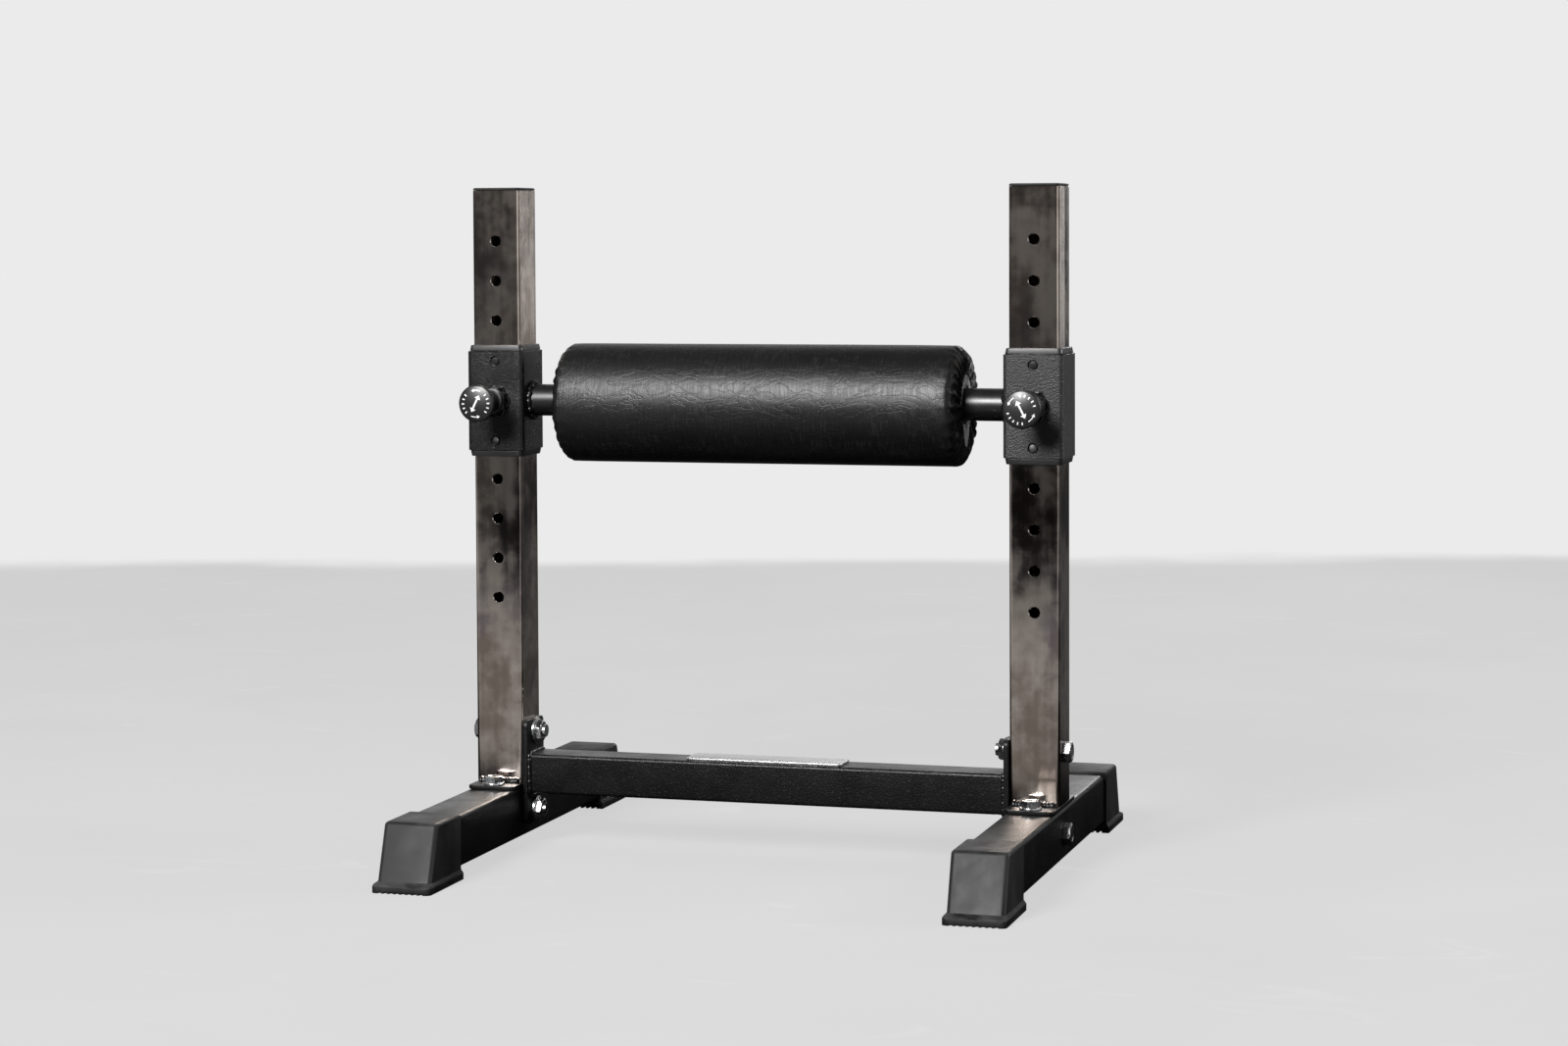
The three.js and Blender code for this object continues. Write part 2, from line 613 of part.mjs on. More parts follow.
// Collar above, insert below, with zero at the sleeve's end face
function bushing() {
  const insertSide = SLEEVE_SIDE - 2 * (SLEEVE_WALL + FIT_GAP);
  const insertWall = (insertSide - BUSHING_BORE) / 2;
  const insertShape = roundedRectangle(insertSide, insertSide, BUSHING_BORE_CORNER);
  const insert = extruded(insertShape, BUSHING_DEPTH + BUSHING_COLLAR_HEIGHT / 2, BUSHING_CORNER_STEPS);
  insert.translate(0, 0, -BUSHING_DEPTH);
  const collar = edgedSlab(
    BUSHING_COLLAR_SIDE,
    BUSHING_COLLAR_SIDE,
    BUSHING_BORE_CORNER,
    BUSHING_COLLAR_HEIGHT,
    BUSHING_COLLAR_EDGE,
  );
  collar.translate(0, 0, FIT_GAP);
  const pegLength = insertWall + FIT_GAP + SLEEVE_WALL - PEG_SETBACK;
  const peg = roundBar(PEG_DIAMETER, pegLength, 'y', HIDDEN_STEPS);
  const pegDepth = (SLEEVE_HEIGHT - PEG_SPACING) / 2;
  peg.translate(0, PEG_SETBACK - SLEEVE_FACE + pegLength / 2, -pegDepth);
  const length = BUSHING_DEPTH + BUSHING_COLLAR_HEIGHT + 2 * CUT_OVERRUN;
  const bore = extruded(
    roundedRectangle(BUSHING_BORE, BUSHING_BORE, BUSHING_BORE_CORNER),
    length + FIT_GAP,
  );
  bore.translate(0, 0, -BUSHING_DEPTH - CUT_OVERRUN);
  return cut(join([insert, collar, peg]), [bore]);
}

// Roller shaft with its weld bead at each sleeve, hollow, along Y until it is laid on X
function rollerShaft() {
  const outer = SHAFT_DIAMETER / 2;
  const inner = outer - SHAFT_WALL;
  const end = SHAFT_LENGTH / 2;
  return turned([
    [inner, -end],
    [outer + SHAFT_WELD, -end],
    [outer, SHAFT_WELD - end],
    [outer, end - SHAFT_WELD],
    [outer + SHAFT_WELD, end],
    [inner, end],
    [inner, -end],
  ], ROLLER_STEPS).rotateZ(-QUARTER_TURN);
}

// Roller, made along Y and laid on X: a core tube, foam on it, and a cover folded in at both ends

const CORE_BORE = SHAFT_DIAMETER + 2 * (ROLLER_HANG + FIT_GAP);
const CORE_DIAMETER = CORE_BORE + 2 * CORE_WALL;

// The rounded edge at one end, from the lower end of its bend to the upper
function rollerEnd(outer, end, sign) {
  const centre = sign * (end - ROLLER_END_ROUND);
  const [from, to] = sign > 0 ? [0, QUARTER_TURN] : [-QUARTER_TURN, 0];
  return bend(outer - ROLLER_EDGE_ROUND, centre, ROLLER_EDGE_ROUND, ROLLER_END_ROUND, from, to);
}

function rollerCore() {
  const end = ROLLER_LENGTH / 2 - CORE_SETBACK;
  const inner = CORE_BORE / 2;
  const outer = CORE_DIAMETER / 2;
  const profile = [[inner, -end], [outer, -end], [outer, end], [inner, end], [inner, -end]];
  return turned(profile, ROLLER_STEPS).rotateZ(-QUARTER_TURN);
}

function rollerFoam() {
  const outer = ROLLER_DIAMETER / 2 - COVER_SKIN - FIT_GAP;
  const inner = CORE_DIAMETER / 2 + FIT_GAP;
  const end = ROLLER_LENGTH / 2 - COVER_SKIN - FIT_GAP;
  return turned([
    [inner, -end],
    ...rollerEnd(outer, end, -1),
    ...rollerEnd(outer, end, 1),
    [inner, end],
    [inner, -end],
  ], ROLLER_STEPS).rotateZ(-QUARTER_TURN);
}

function rollerCover() {
  const outer = ROLLER_DIAMETER / 2;
  const mouth = CORE_DIAMETER / 2 + FIT_GAP;
  const end = ROLLER_LENGTH / 2;
  const inside = outer - COVER_SKIN;
  const insideEnd = end - COVER_SKIN;
  return turned([
    [mouth, -end],
    ...rollerEnd(outer, end, -1),
    ...rollerEnd(outer, end, 1),
    [mouth, end],
    [mouth, insideEnd],
    ...rollerEnd(inside, insideEnd, 1).reverse(),
    ...rollerEnd(inside, insideEnd, -1).reverse(),
    [mouth, -insideEnd],
    [mouth, -end],
  ], ROLLER_STEPS).rotateZ(-QUARTER_TURN);
}

// Pull pin: a nut welded to the sleeve, a barrel screwed into it, a sprung pin and its knob.
// Each is turned about Y with zero at the sleeve's face, and the pin's way in is +Y.

const BARREL_SEAT = -(FIT_GAP + WELD_NUT_LENGTH);
const RING_BACK = BARREL_SEAT - FIT_GAP;
const RING_FRONT = RING_BACK - BARREL_RING;
const BARREL_END = RING_FRONT - BARREL_LENGTH;
const BARREL_START = -2 * FIT_GAP;
const BORE_START = BARREL_START - BARREL_NOSE;
const BORE_END = BARREL_END + BARREL_END_WALL;
const PIN_TIP = SLEEVE_FACE - UPRIGHT_FACE - PIN_TIP_GAP;
const COLLAR_BACK = BORE_START - 2 * FIT_GAP - PIN_TRAVEL;
const COLLAR_FRONT = COLLAR_BACK - PIN_COLLAR;
const KNOB_BACK = BARREL_END - 2 * FIT_GAP - PIN_TRAVEL;
const STEM_END = KNOB_BACK - KNOB_SOCKET + FIT_GAP;

function pinBarrel() {
  const thread = BARREL_THREAD_DIAMETER / 2;
  const ring = BARREL_RING_DIAMETER / 2;
  const barrel = BARREL_DIAMETER / 2;
  const bore = BARREL_BORE_DIAMETER / 2;
  const guide = PIN_DIAMETER / 2 + PIN_GUIDE_CLEARANCE;
  const stem = PIN_STEM_DIAMETER / 2 + PIN_GUIDE_CLEARANCE;
  return turned([
    [stem, BARREL_END],
    [barrel - BARREL_EDGE, BARREL_END],
    [barrel, BARREL_END + BARREL_EDGE],
    [barrel, RING_FRONT],
    [ring - BARREL_EDGE, RING_FRONT],
    [ring, RING_FRONT + BARREL_EDGE],
    [ring, RING_BACK],
    [thread, RING_BACK],
    [thread, BARREL_START],
    [guide, BARREL_START],
    [guide, BORE_START],
    [bore, BORE_START],
    [bore, BORE_END],
    [stem, BORE_END],
    [stem, BARREL_END],
  ]);
}

function plungerPin() {
  const pin = PIN_DIAMETER / 2;
  const collar = PIN_COLLAR_DIAMETER / 2;
  const stem = PIN_STEM_DIAMETER / 2;
  return turned([
    [0, STEM_END],
    [stem, STEM_END],
    [stem, COLLAR_FRONT],
    [collar, COLLAR_FRONT],
    [collar, COLLAR_BACK],
    [pin, COLLAR_BACK],
    [pin, PIN_TIP - PIN_TIP_CHAMFER],
    [pin - PIN_TIP_CHAMFER, PIN_TIP],
    [0, PIN_TIP],
  ]);
}

// The spring is one unbroken round wire between the pin's collar and the barrel's end wall
function pinSpring() {
  const wire = SPRING_WIRE / 2;
  const radius = BARREL_BORE_DIAMETER / 2 - FIT_GAP - wire;
  const start = COLLAR_FRONT - FIT_GAP - wire;
  const finishHeight = BORE_END + FIT_GAP + wire;
  const pitch = (finishHeight - start) / SPRING_TURNS;
  const steps = SPRING_TURNS * SPRING_STEPS;
  const rings = Array.from({ length: steps + 1 }, (_, step) => {
    const turn = (2 * HALF_TURN * step) / SPRING_STEPS;
    const height = start + (pitch * step) / SPRING_STEPS;
    return Array.from({ length: SPRING_SIDES }, (__, side) => {
      const around = (2 * HALF_TURN * side) / SPRING_SIDES;
      const reach = radius + wire * Math.cos(around);
      return [reach * Math.cos(turn), height + wire * Math.sin(around), reach * Math.sin(turn)];
    });
  });
  return lofted(rings);
}

function knob() {
  const hub = KNOB_HUB_DIAMETER / 2;
  const rim = KNOB_DIAMETER / 2;
  const socket = PIN_STEM_DIAMETER / 2 + FIT_GAP;
  const flare = KNOB_BACK - KNOB_HUB;
  const rimBack = flare - KNOB_FLARE;
  const rimFront = rimBack - KNOB_RIM;
  const face = rimFront - KNOB_DOME;
  const domeRadius = (rim * rim + KNOB_DOME * KNOB_DOME) / (2 * KNOB_DOME);
  const domeSteps = Array.from({ length: BEND_STEPS }, (_, step) => {
    const radius = (rim * (step + 1)) / (BEND_STEPS + 1);
    const sag = domeRadius - Math.sqrt(domeRadius * domeRadius - radius * radius);
    return [radius, face + sag];
  });
  return turned([
    [0, face],
    ...domeSteps,
    [rim, rimFront],
    [rim, rimBack],
    [hub, flare],
    [hub, KNOB_BACK],
    [socket, KNOB_BACK],
    [socket, KNOB_BACK - KNOB_SOCKET],
    [0, KNOB_BACK - KNOB_SOCKET],
  ], KNOB_STEPS);
}

// Carriage: sleeves, bushings, shaft and roller, at the height of the chosen hole

SIDES.forEach(({ label, sign }) => {
  const x = sign * SIDE_CENTRE;
  place(`${label}_sleeve`, sleeve(), FINISH.blackPowder, x, 0, CARRIAGE_HEIGHT);
  const upperEnd = CARRIAGE_HEIGHT + SLEEVE_HEIGHT / 2;
  const lowerEnd = CARRIAGE_HEIGHT - SLEEVE_HEIGHT / 2;
  place(`${label}_upper_bushing`, bushing(), FINISH.blackPlastic, x, 0, upperEnd);
  const lower = place(`${label}_lower_bushing`, bushing(), FINISH.blackPlastic, x, 0, lowerEnd);
  lower.rotation.y = HALF_TURN;

  const nut = weldNut(WELD_NUT_FLATS, WELD_NUT_LENGTH, BARREL_THREAD_DIAMETER + 2 * FIT_GAP);
  nut.rotateX(QUARTER_TURN).rotateY(QUARTER_TURN / 3);
  place(`${label}_pin_weld_nut`, nut, FINISH.blackPowder, x, -SLEEVE_FACE - FIT_GAP, CARRIAGE_HEIGHT);
  place(`${label}_pin_barrel`, pinBarrel(), FINISH.blackGloss, x, -SLEEVE_FACE, CARRIAGE_HEIGHT);
  place(`${label}_plunger_pin`, plungerPin(), FINISH.zinc, x, -SLEEVE_FACE, CARRIAGE_HEIGHT);
  place(`${label}_pin_spring`, pinSpring(), FINISH.springSteel, x, -SLEEVE_FACE, CARRIAGE_HEIGHT);
  place(`${label}_knob`, knob(), FINISH.blackPlastic, x, -SLEEVE_FACE, CARRIAGE_HEIGHT);
});

place('roller_shaft', rollerShaft(), FINISH.blackGloss, 0, 0, CARRIAGE_HEIGHT);
place('roller_core', rollerCore(), FINISH.core, ROLLER_OFFSET, 0, ROLLER_HEIGHT);
place('roller_foam', rollerFoam(), FINISH.foam, ROLLER_OFFSET, 0, ROLLER_HEIGHT);
place('roller_cover', rollerCover(), FINISH.leather, ROLLER_OFFSET, 0, ROLLER_HEIGHT);

export default stand;
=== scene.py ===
"""Split squat stand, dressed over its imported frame.

Metres, +Z up. +X runs along the crossbar and -Y is the front, where the pull pins are.
"""

import logging
import math
import random
from contextlib import contextmanager
from dataclasses import dataclass
from enum import Enum
from functools import partialmethod
from itertools import product
from typing import Callable, Iterable, Iterator, Sequence

import bmesh
import bpy
import numpy as np
from mathutils import Matrix, Vector


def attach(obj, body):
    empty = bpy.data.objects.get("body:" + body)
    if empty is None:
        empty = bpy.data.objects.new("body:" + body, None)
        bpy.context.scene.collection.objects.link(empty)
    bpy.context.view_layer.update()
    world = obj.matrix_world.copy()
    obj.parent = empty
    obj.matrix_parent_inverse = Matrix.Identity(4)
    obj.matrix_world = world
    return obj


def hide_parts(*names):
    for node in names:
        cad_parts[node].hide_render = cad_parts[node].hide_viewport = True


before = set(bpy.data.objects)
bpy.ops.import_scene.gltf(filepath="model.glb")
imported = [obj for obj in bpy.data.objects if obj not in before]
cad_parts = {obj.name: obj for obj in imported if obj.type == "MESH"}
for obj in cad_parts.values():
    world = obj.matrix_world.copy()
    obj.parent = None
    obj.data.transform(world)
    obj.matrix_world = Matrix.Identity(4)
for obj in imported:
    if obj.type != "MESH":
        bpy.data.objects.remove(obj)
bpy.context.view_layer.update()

logging.basicConfig(level=logging.INFO, format="%(message)s")
LOG = logging.getLogger("stand")

Triple = tuple[float, float, float]
Colour = tuple[float, float, float, float]
Piece = bpy.types.Object
Test = Callable[..., bool]

SEED = 11
HAIRLINE = 0.0003
HALF_TURN = math.pi
QUARTER_TURN = math.pi / 2
SPACING = 0.2765
PIN_HEIGHT = 0.4519
DUST: Colour = (0.3, 0.3, 0.3, 1.0)


class Body(Enum):
    """The bodies of the frame that pieces ride on."""

    FRAME = "frame"
    CARRIAGE = "carriage"
    ROLLER = "roller"
    LEFT_PIN = "left_pin"
    RIGHT_PIN = "right_pin"
    LEFT_KNOB = "left_pin_knob"
    RIGHT_KNOB = "right_pin_knob"


class Slot(Enum):
    """The finish slots."""

    STEEL = "cleared_steel"
    POWDER = "black_powder"
    GLOSS = "black_gloss"
    RUBBER = "foot_rubber"
    PLASTIC = "black_plastic"
    ZINC = "zinc"
    SPRING = "spring_steel"
    BADGE = "badge"
    LEATHER = "cover_leather"
    FOAM = "foam"
    CORE = "core_tube"


class Place(Enum):
    """A place on the stand, whose value is the sign of its coordinate."""

    @property
    def label(self) -> str:
        """The place's name in lower case, as the nodes spell it."""
        return self.name.lower()


class Side(Place):
    """Left and right as seen from the front, along X."""

    LEFT = -1
    RIGHT = 1


class End(Place):
    """Front and rear of the stand, along Y."""

    FRONT = -1
    REAR = 1


class Axis(Enum):
    """A direction along which a piece lies."""

    X = 0
    Y = 1
    Z = 2

    @property
    def unit(self) -> Vector:
        """The unit vector of this axis."""
        return Vector([1.0 if number == self.value else 0.0 for number in range(3)])


class Kind(Enum):
    """What is selected in edit mode, and where its mesh keeps it."""

    VERT = "verts"
    EDGE = "edges"
    FACE = "faces"


# Node trees


class Signal:
    """A value in a node tree, reckoned with by plain operators."""

    def __init__(self, nodes: "Nodes", socket: bpy.types.NodeSocket) -> None:
        """Keeps the tree's nodes and the socket that gives the value."""
        self.nodes, self.socket = nodes, socket

    def maths(self, operation: str, *others: object) -> "Signal":
        """Adds a Math node that takes this value and then the others."""
        return self.nodes.make("ShaderNodeMath", self, *others, operation=operation)

    __add__ = partialmethod(maths, "ADD")
    __sub__ = partialmethod(maths, "SUBTRACT")
    __mul__ = partialmethod(maths, "MULTIPLY")
    __truediv__ = partialmethod(maths, "DIVIDE")
    __pow__ = partialmethod(maths, "POWER")
    __or__ = partialmethod(maths, "MAXIMUM")
    __lt__ = partialmethod(maths, "LESS_THAN")
    __gt__ = partialmethod(maths, "GREATER_THAN")
    __abs__ = partialmethod(maths, "ABSOLUTE")

    def span(self, low: float, high: float, start: float = 0.0, stop: float = 1.0) -> "Signal":
        """Maps low to high smoothly onto start to stop, and holds those beyond."""
        ends = (self, low, high, start, stop)
        return self.nodes.make("ShaderNodeMapRange", *ends, interpolation_type="SMOOTHSTEP")

    def distance(self, other: "Signal") -> "Signal":
        """How far the point at these two coordinates is from the origin."""
        return (self**2.0 + other**2.0).maths("SQRT")


Signals = dict[str, Signal]


class Nodes:
    """A node tree with short calls that add and join its nodes."""

    def __init__(self, tree: bpy.types.NodeTree) -> None:
        """Keeps the tree of a material, a world or a group."""
        self.tree = tree

    def fill(self, node: bpy.types.Node, values: dict) -> bpy.types.Node:
        """Feeds a node's inputs.

        Args:
            node: the node.
            values: a signal or a plain value by each input's name or number; None is left out.

        Returns:
            The same node.
        """
        for key, value in values.items():
            if isinstance(value, Signal):
                self.tree.links.new(value.socket, node.inputs[key])
            elif value is not None:
                node.inputs[key].default_value = value
        return node

    def add(self, kind: str, *inputs: object, named: dict = {}, **rest: object) -> bpy.types.Node:
        """Adds a node.

        Args:
            kind: its type name.
            inputs: what feeds its inputs, in order.
            named: what feeds its inputs, by name.
            rest: its properties.

        Returns:
            The node.
        """
        node = self.tree.nodes.new(kind)
        for name, value in rest.items():
            setattr(node, name, value)
        return self.fill(node, {**dict(enumerate(inputs)), **named})

    def make(self, kind: str, *inputs: object, output: str | int = 0, **rest: object) -> Signal:
        """Adds a node as add does, and gives one of its outputs."""
        return Signal(self, self.add(kind, *inputs, **rest).outputs[output])

    def blend(self, factor: Signal, first: object, second: object) -> Signal:
        """Mixes two colours, from the first at 0 to the second at 1."""
        mixed = {"Factor": factor, "A": first, "B": second}
        return self.make("ShaderNodeMix", named=mixed, output="Result", data_type="RGBA")

    def place(self, stretch: Triple = (1, 1, 1)) -> Signal:
        """Reads Object coordinates, scaled along each axis."""
        source = self.make("ShaderNodeTexCoord", output="Object")
        return self.make("ShaderNodeMapping", source, None, None, stretch)

    def noise(
        self,
        scale: object,
        detail: float = 3.0,
        warp: float = 0.0,
        stretch: Triple = (1, 1, 1),
        where: Signal | None = None,
    ) -> Signal:
        """Adds a noise texture.

        Args:
            scale: blotches per metre, as a signal or a number.
            detail: how many finer layers it has.
            warp: how far the pattern is distorted.
            stretch: how the Object coordinates that it reads are scaled.
            where: other coordinates to read.

        Returns:
            The noise, around 0.5.
        """
        read = {"Vector": where or self.place(stretch), "Scale": scale}
        shape = {"Detail": detail, "Distortion": warp}
        return self.make("ShaderNodeTexNoise", named={**read, **shape})

    def apart(self, where: Signal) -> list[Signal]:
        """Splits a vector into its three numbers."""
        node = self.add("ShaderNodeSeparateXYZ", where)
        return [Signal(self, socket) for socket in node.outputs]

    def together(self, first: Signal, second: Signal, third: object = 0.0) -> Signal:
        """Joins three numbers into a vector or a colour."""
        return self.make("ShaderNodeCombineXYZ", first, second, third)

    def effect(self, kind: "type[Effect]", **values: float) -> Signals:
        """Places a shared effect with its own values, and gives its outputs by name."""
        node = self.add("ShaderNodeGroup", named=values, node_tree=kind().group())
        return {socket.name: Signal(self, socket) for socket in node.outputs}

    def relief(
        self, height: Signal, strength: float, depth: float, under: Signal | None = None
    ) -> Signal:
        """Adds a Bump node.

        Args:
            height: the relief, from 0 to 1.
            strength: how strongly it shows.
            depth: the height of 1 in metres.
            under: the normal of a coarser relief below it.

        Returns:
            The bumped normal.
        """
        shape = {"Strength": strength, "Distance": depth, "Height": height, "Normal": under}
        return self.make("ShaderNodeBump", named=shape)


class Effect:
    """A shared shader node group with named inputs and outputs."""

    name: str
    inputs: dict[str, float]

    def group(self) -> bpy.types.NodeTree:
        """Finds the node group, or builds it the first time.

        Returns:
            The node group.
        """
        ready = bpy.data.node_groups.get(self.name)
        if ready:
            return ready
        tree = bpy.data.node_groups.new(self.name, "ShaderNodeTree")
        sort = "NodeSocketFloat"
        for name, value in self.inputs.items():
            tree.interface.new_socket(name, in_out="INPUT", socket_type=sort).default_value = value
        nodes = Nodes(tree)
        source = nodes.add("NodeGroupInput")
        read = {name: Signal(nodes, source.outputs[name]) for name in self.inputs}
        made = self.wire(nodes, read)
        for name in made:
            tree.interface.new_socket(name, in_out="OUTPUT", socket_type=sort)
        nodes.add("NodeGroupOutput", named=made)
        return tree

    def wire(self, nodes: Nodes, given: Signals) -> Signals:
        """Builds the inside of the group.

        Args:
            nodes: the group's nodes.
            given: its inputs by name.

        Returns:
            Its outputs by name.
        """
        raise NotImplementedError


class PowderGrain(Effect):
    """Fine orange peel of a coating, with soft patches in its gloss."""

    name = "Powder grain"
    inputs = {"Fineness": 700.0, "Dull": 0.55, "Bright": 0.4}

    def wire(self, nodes: Nodes, given: Signals) -> Signals:
        """Adds grain, patches and flecks.

        Args:
            nodes: the group's nodes.
            given: its inputs by name.

        Returns:
            Its outputs by name.
        """
        grain = nodes.noise(given["Fineness"], 2.0)
        patches = nodes.noise(22.0, 3.0, 0.4).span(0.35, 0.65)
        rough = patches * (given["Bright"] - given["Dull"]) + given["Dull"]
        return {"Height": grain, "Roughness": rough, "Fleck": grain.span(0.6, 0.75)}


class DrawnSteel(Effect):
    """Blotches of raw mill steel and the long streaks that drawing leaves in it."""

    name = "Drawn steel"
    inputs = {"Blotch": 24.0, "Streak": 190.0}

    def wire(self, nodes: Nodes, given: Signals) -> Signals:
        """Adds blotches, a slower tint and streaks along Z.

        Args:
            nodes: the group's nodes.
            given: its inputs by name.

        Returns:
            Its outputs by name.
        """
        tall = (1.0, 1.0, 0.55)
        wide = nodes.noise(given["Blotch"], 3.0, 0.3, tall)
        close = nodes.noise(70.0, 5.0, 0.2)
        streaks = nodes.noise(given["Streak"], 2.0, stretch=(1.0, 1.0, 0.012))
        waves = nodes.noise(42.0, 1.0, stretch=(1.0, 1.0, 0.04))
        return {
            "Tone": (wide * 0.6 + close * 0.28 + streaks * 0.12).span(0.39, 0.63),
            "Tint": nodes.noise(14.0, stretch=tall).span(0.4, 0.6),
            "Height": streaks * 0.015 + waves,
        }


class HoleRims(Effect):
    """A pale ring round each adjusting hole: steel bared by the deburring tool, and partly a
    painted highlight on the rim.
    """

    name = "Hole rims"
    inputs = {"Spacing": SPACING, "Pitch": 0.04, "Top": 0.6127, "Radius": 0.0059}

    def wire(self, nodes: Nodes, given: Signals) -> Signals:
        """Measures the distance from the nearest of the ten holes' axes.

        Args:
            nodes: the group's nodes.
            given: its inputs by name.

        Returns:
            Its outputs by name.
        """
        x, y, z = nodes.apart(nodes.place())
        turns = (given["Top"] - z) / given["Pitch"]
        up = (turns - turns.maths("ROUND")) * given["Pitch"]
        ragged = nodes.noise(260.0) * 0.0022 + (abs(x) - given["Spacing"]).distance(up)
        ring = ragged - 0.0011 < given["Radius"]
        return {"Mask": ring * (y < -0.021) * (abs(turns - 4.5) < 4.9)}


class LeatherGrain(Effect):
    """Imitation leather round the roller: fine creases round it and slack waves along it."""

    name = "Leather grain"
    inputs = {"Axis height": 0.4501, "Girth": 0.06}

    def wire(self, nodes: Nodes, given: Signals) -> Signals:
        """Unrolls the cover about its axis and lays the creases on it.

        Args:
            nodes: the group's nodes.
            given: its inputs by name.

        Returns:
            Its outputs by name.
        """
        x, y, z = nodes.apart(nodes.place())
        around = (z - given["Axis height"]).maths("ARCTAN2", y) * given["Girth"]
        flat = nodes.together(x, around)
        drift = nodes.noise(26.0, 2.0, where=flat) * 0.012
        creases = nodes.noise(560.0, 2.0, 0.2, where=nodes.together(x + drift, around * 0.1))
        waves = nodes.noise(62.0, 3.0, 1.3, where=nodes.together(x * 0.5, around + drift))
        folds = abs(waves - 0.5).span(0.0, 0.035, 1.0, 0.0)
        return {
            "Height": nodes.noise(900.0, 1.0, where=flat) * 0.12 + creases,
            "Waves": folds * -0.3 + waves,
            "Tone": nodes.noise(9.0).span(0.35, 0.65),
            "Scuff": (creases * waves).span(0.27, 0.4),
        }


class DialPrint(Effect):
    """White print on a knob's face: two curved arrows, rows of ticks and a double arrow."""

    name = "Dial print"
    inputs = {"Spacing": SPACING, "Height": PIN_HEIGHT, "Front": -0.0795, "Tilt": 1.1}

    def wire(self, nodes: Nodes, given: Signals) -> Signals:
        """Draws the marks round the knob's axis, in millimetres and radians.

        Args:
            nodes: the group's nodes.
            given: its inputs by name.

        Returns:
            Its outputs by name.
        """
        x, y, z = nodes.apart(nodes.place())
        side = x.maths("SIGN")
        right = (x - side * given["Spacing"]) * 1000.0
        up = (z - given["Height"]) * 1000.0
        reach = right.distance(up)
        angle = up.maths("ARCTAN2", right) + side * given["Tilt"] + 4 * HALF_TURN
        lap = angle.maths("MODULO", HALF_TURN)
        from_ring = abs(reach - 13.3)
        line = (lap > 0.1) * (lap < 0.62) * (from_ring < 0.5)
        tip = (lap > 0.6) * (from_ring < (lap - 0.82) * -8.0)
        beat = (lap * 2.9).maths("PINGPONG", 0.5)
        ticks = (lap > 1.2) * (lap < 2.95) * (beat < 0.13) * (from_ring < 1.35)
        half = angle.maths("PINGPONG", QUARTER_TURN)
        along, off = reach * half.maths("COSINE"), reach * half.maths("SINE")
        bar = (along < 5.6) * (off < 0.9)
        head = (along > 5.4) * (off < (along - 9.4) * -0.8)
        return {"Mask": (line | tip | ticks | bar | head) * (y < given["Front"])}


class SettledDust(Effect):
    """A trace of pale dust on what faces up."""

    name = "Settled dust"
    inputs = {"Amount": 0.1}

    def wire(self, nodes: Nodes, given: Signals) -> Signals:
        """Takes upward faces and breaks them up with noise.

        Args:
            nodes: the group's nodes.
            given: its inputs by name.

        Returns:
            Its outputs by name.
        """
        up = nodes.apart(nodes.make("ShaderNodeNewGeometry", output="Normal"))[2]
        patches = nodes.noise(48.0, 5.0).span(0.4, 0.7)
        return {"Mask": up.span(0.5, 0.95) * patches * given["Amount"]}


# Finishes


@dataclass(frozen=True)
class Finish:
    """A surface finish: its slot and the values all finishes share."""

    name: str
    slot: Slot
    colour: Colour
    metallic: float = 0.0
    specular: float = 0.5

    def material(self) -> bpy.types.Material:
        """Finds the material, or builds it the first time.

        Returns:
            The finish's material.
        """
        ready = bpy.data.materials.get(self.name)
        if ready:
            return ready
        material = bpy.data.materials.new(self.name)
        material.use_nodes = True
        material.diffuse_color = self.colour
        nodes = Nodes(material.node_tree)
        shader = material.node_tree.nodes["Principled BSDF"]
        even = {"Metallic": self.metallic, "Specular IOR Level": self.specular}
        nodes.fill(shader, {"Base Color": self.colour, **even})
        nodes.fill(shader, self.dress(nodes))
        return material

    def dress(self, nodes: Nodes) -> dict[str, object]:
        """Builds the finish's own detail.

        Args:
            nodes: the material's nodes.

        Returns:
            What feeds the shader's inputs, by name.
        """
        raise NotImplementedError


@dataclass(frozen=True)
class Coating(Finish):
    """Powder coat or gloss paint on steel."""

    fineness: float = 700.0
    dull: float = 0.55
    bright: float = 0.42
    strength: float = 0.35
    depth: float = 0.0003
    fleck: Colour = (0.06, 0.06, 0.062, 1.0)
    dust: float = 0.1

    def dress(self, nodes: Nodes) -> dict[str, object]:
        """Builds grain, flecks and dust.

        Args:
            nodes: the material's nodes.

        Returns:
            What feeds the shader's inputs, by name.
        """
        look = {"Fineness": self.fineness, "Dull": self.dull, "Bright": self.bright}
        grain = nodes.effect(PowderGrain, **look)
        dust = nodes.effect(SettledDust, Amount=self.dust)
        speckled = nodes.blend(grain["Fleck"] * 0.35, self.colour, self.fleck)
        return {
            "Base Color": nodes.blend(dust["Mask"], speckled, DUST),
            "Roughness": grain["Roughness"],
            "Normal": nodes.relief(grain["Height"], self.strength, self.depth),
        }


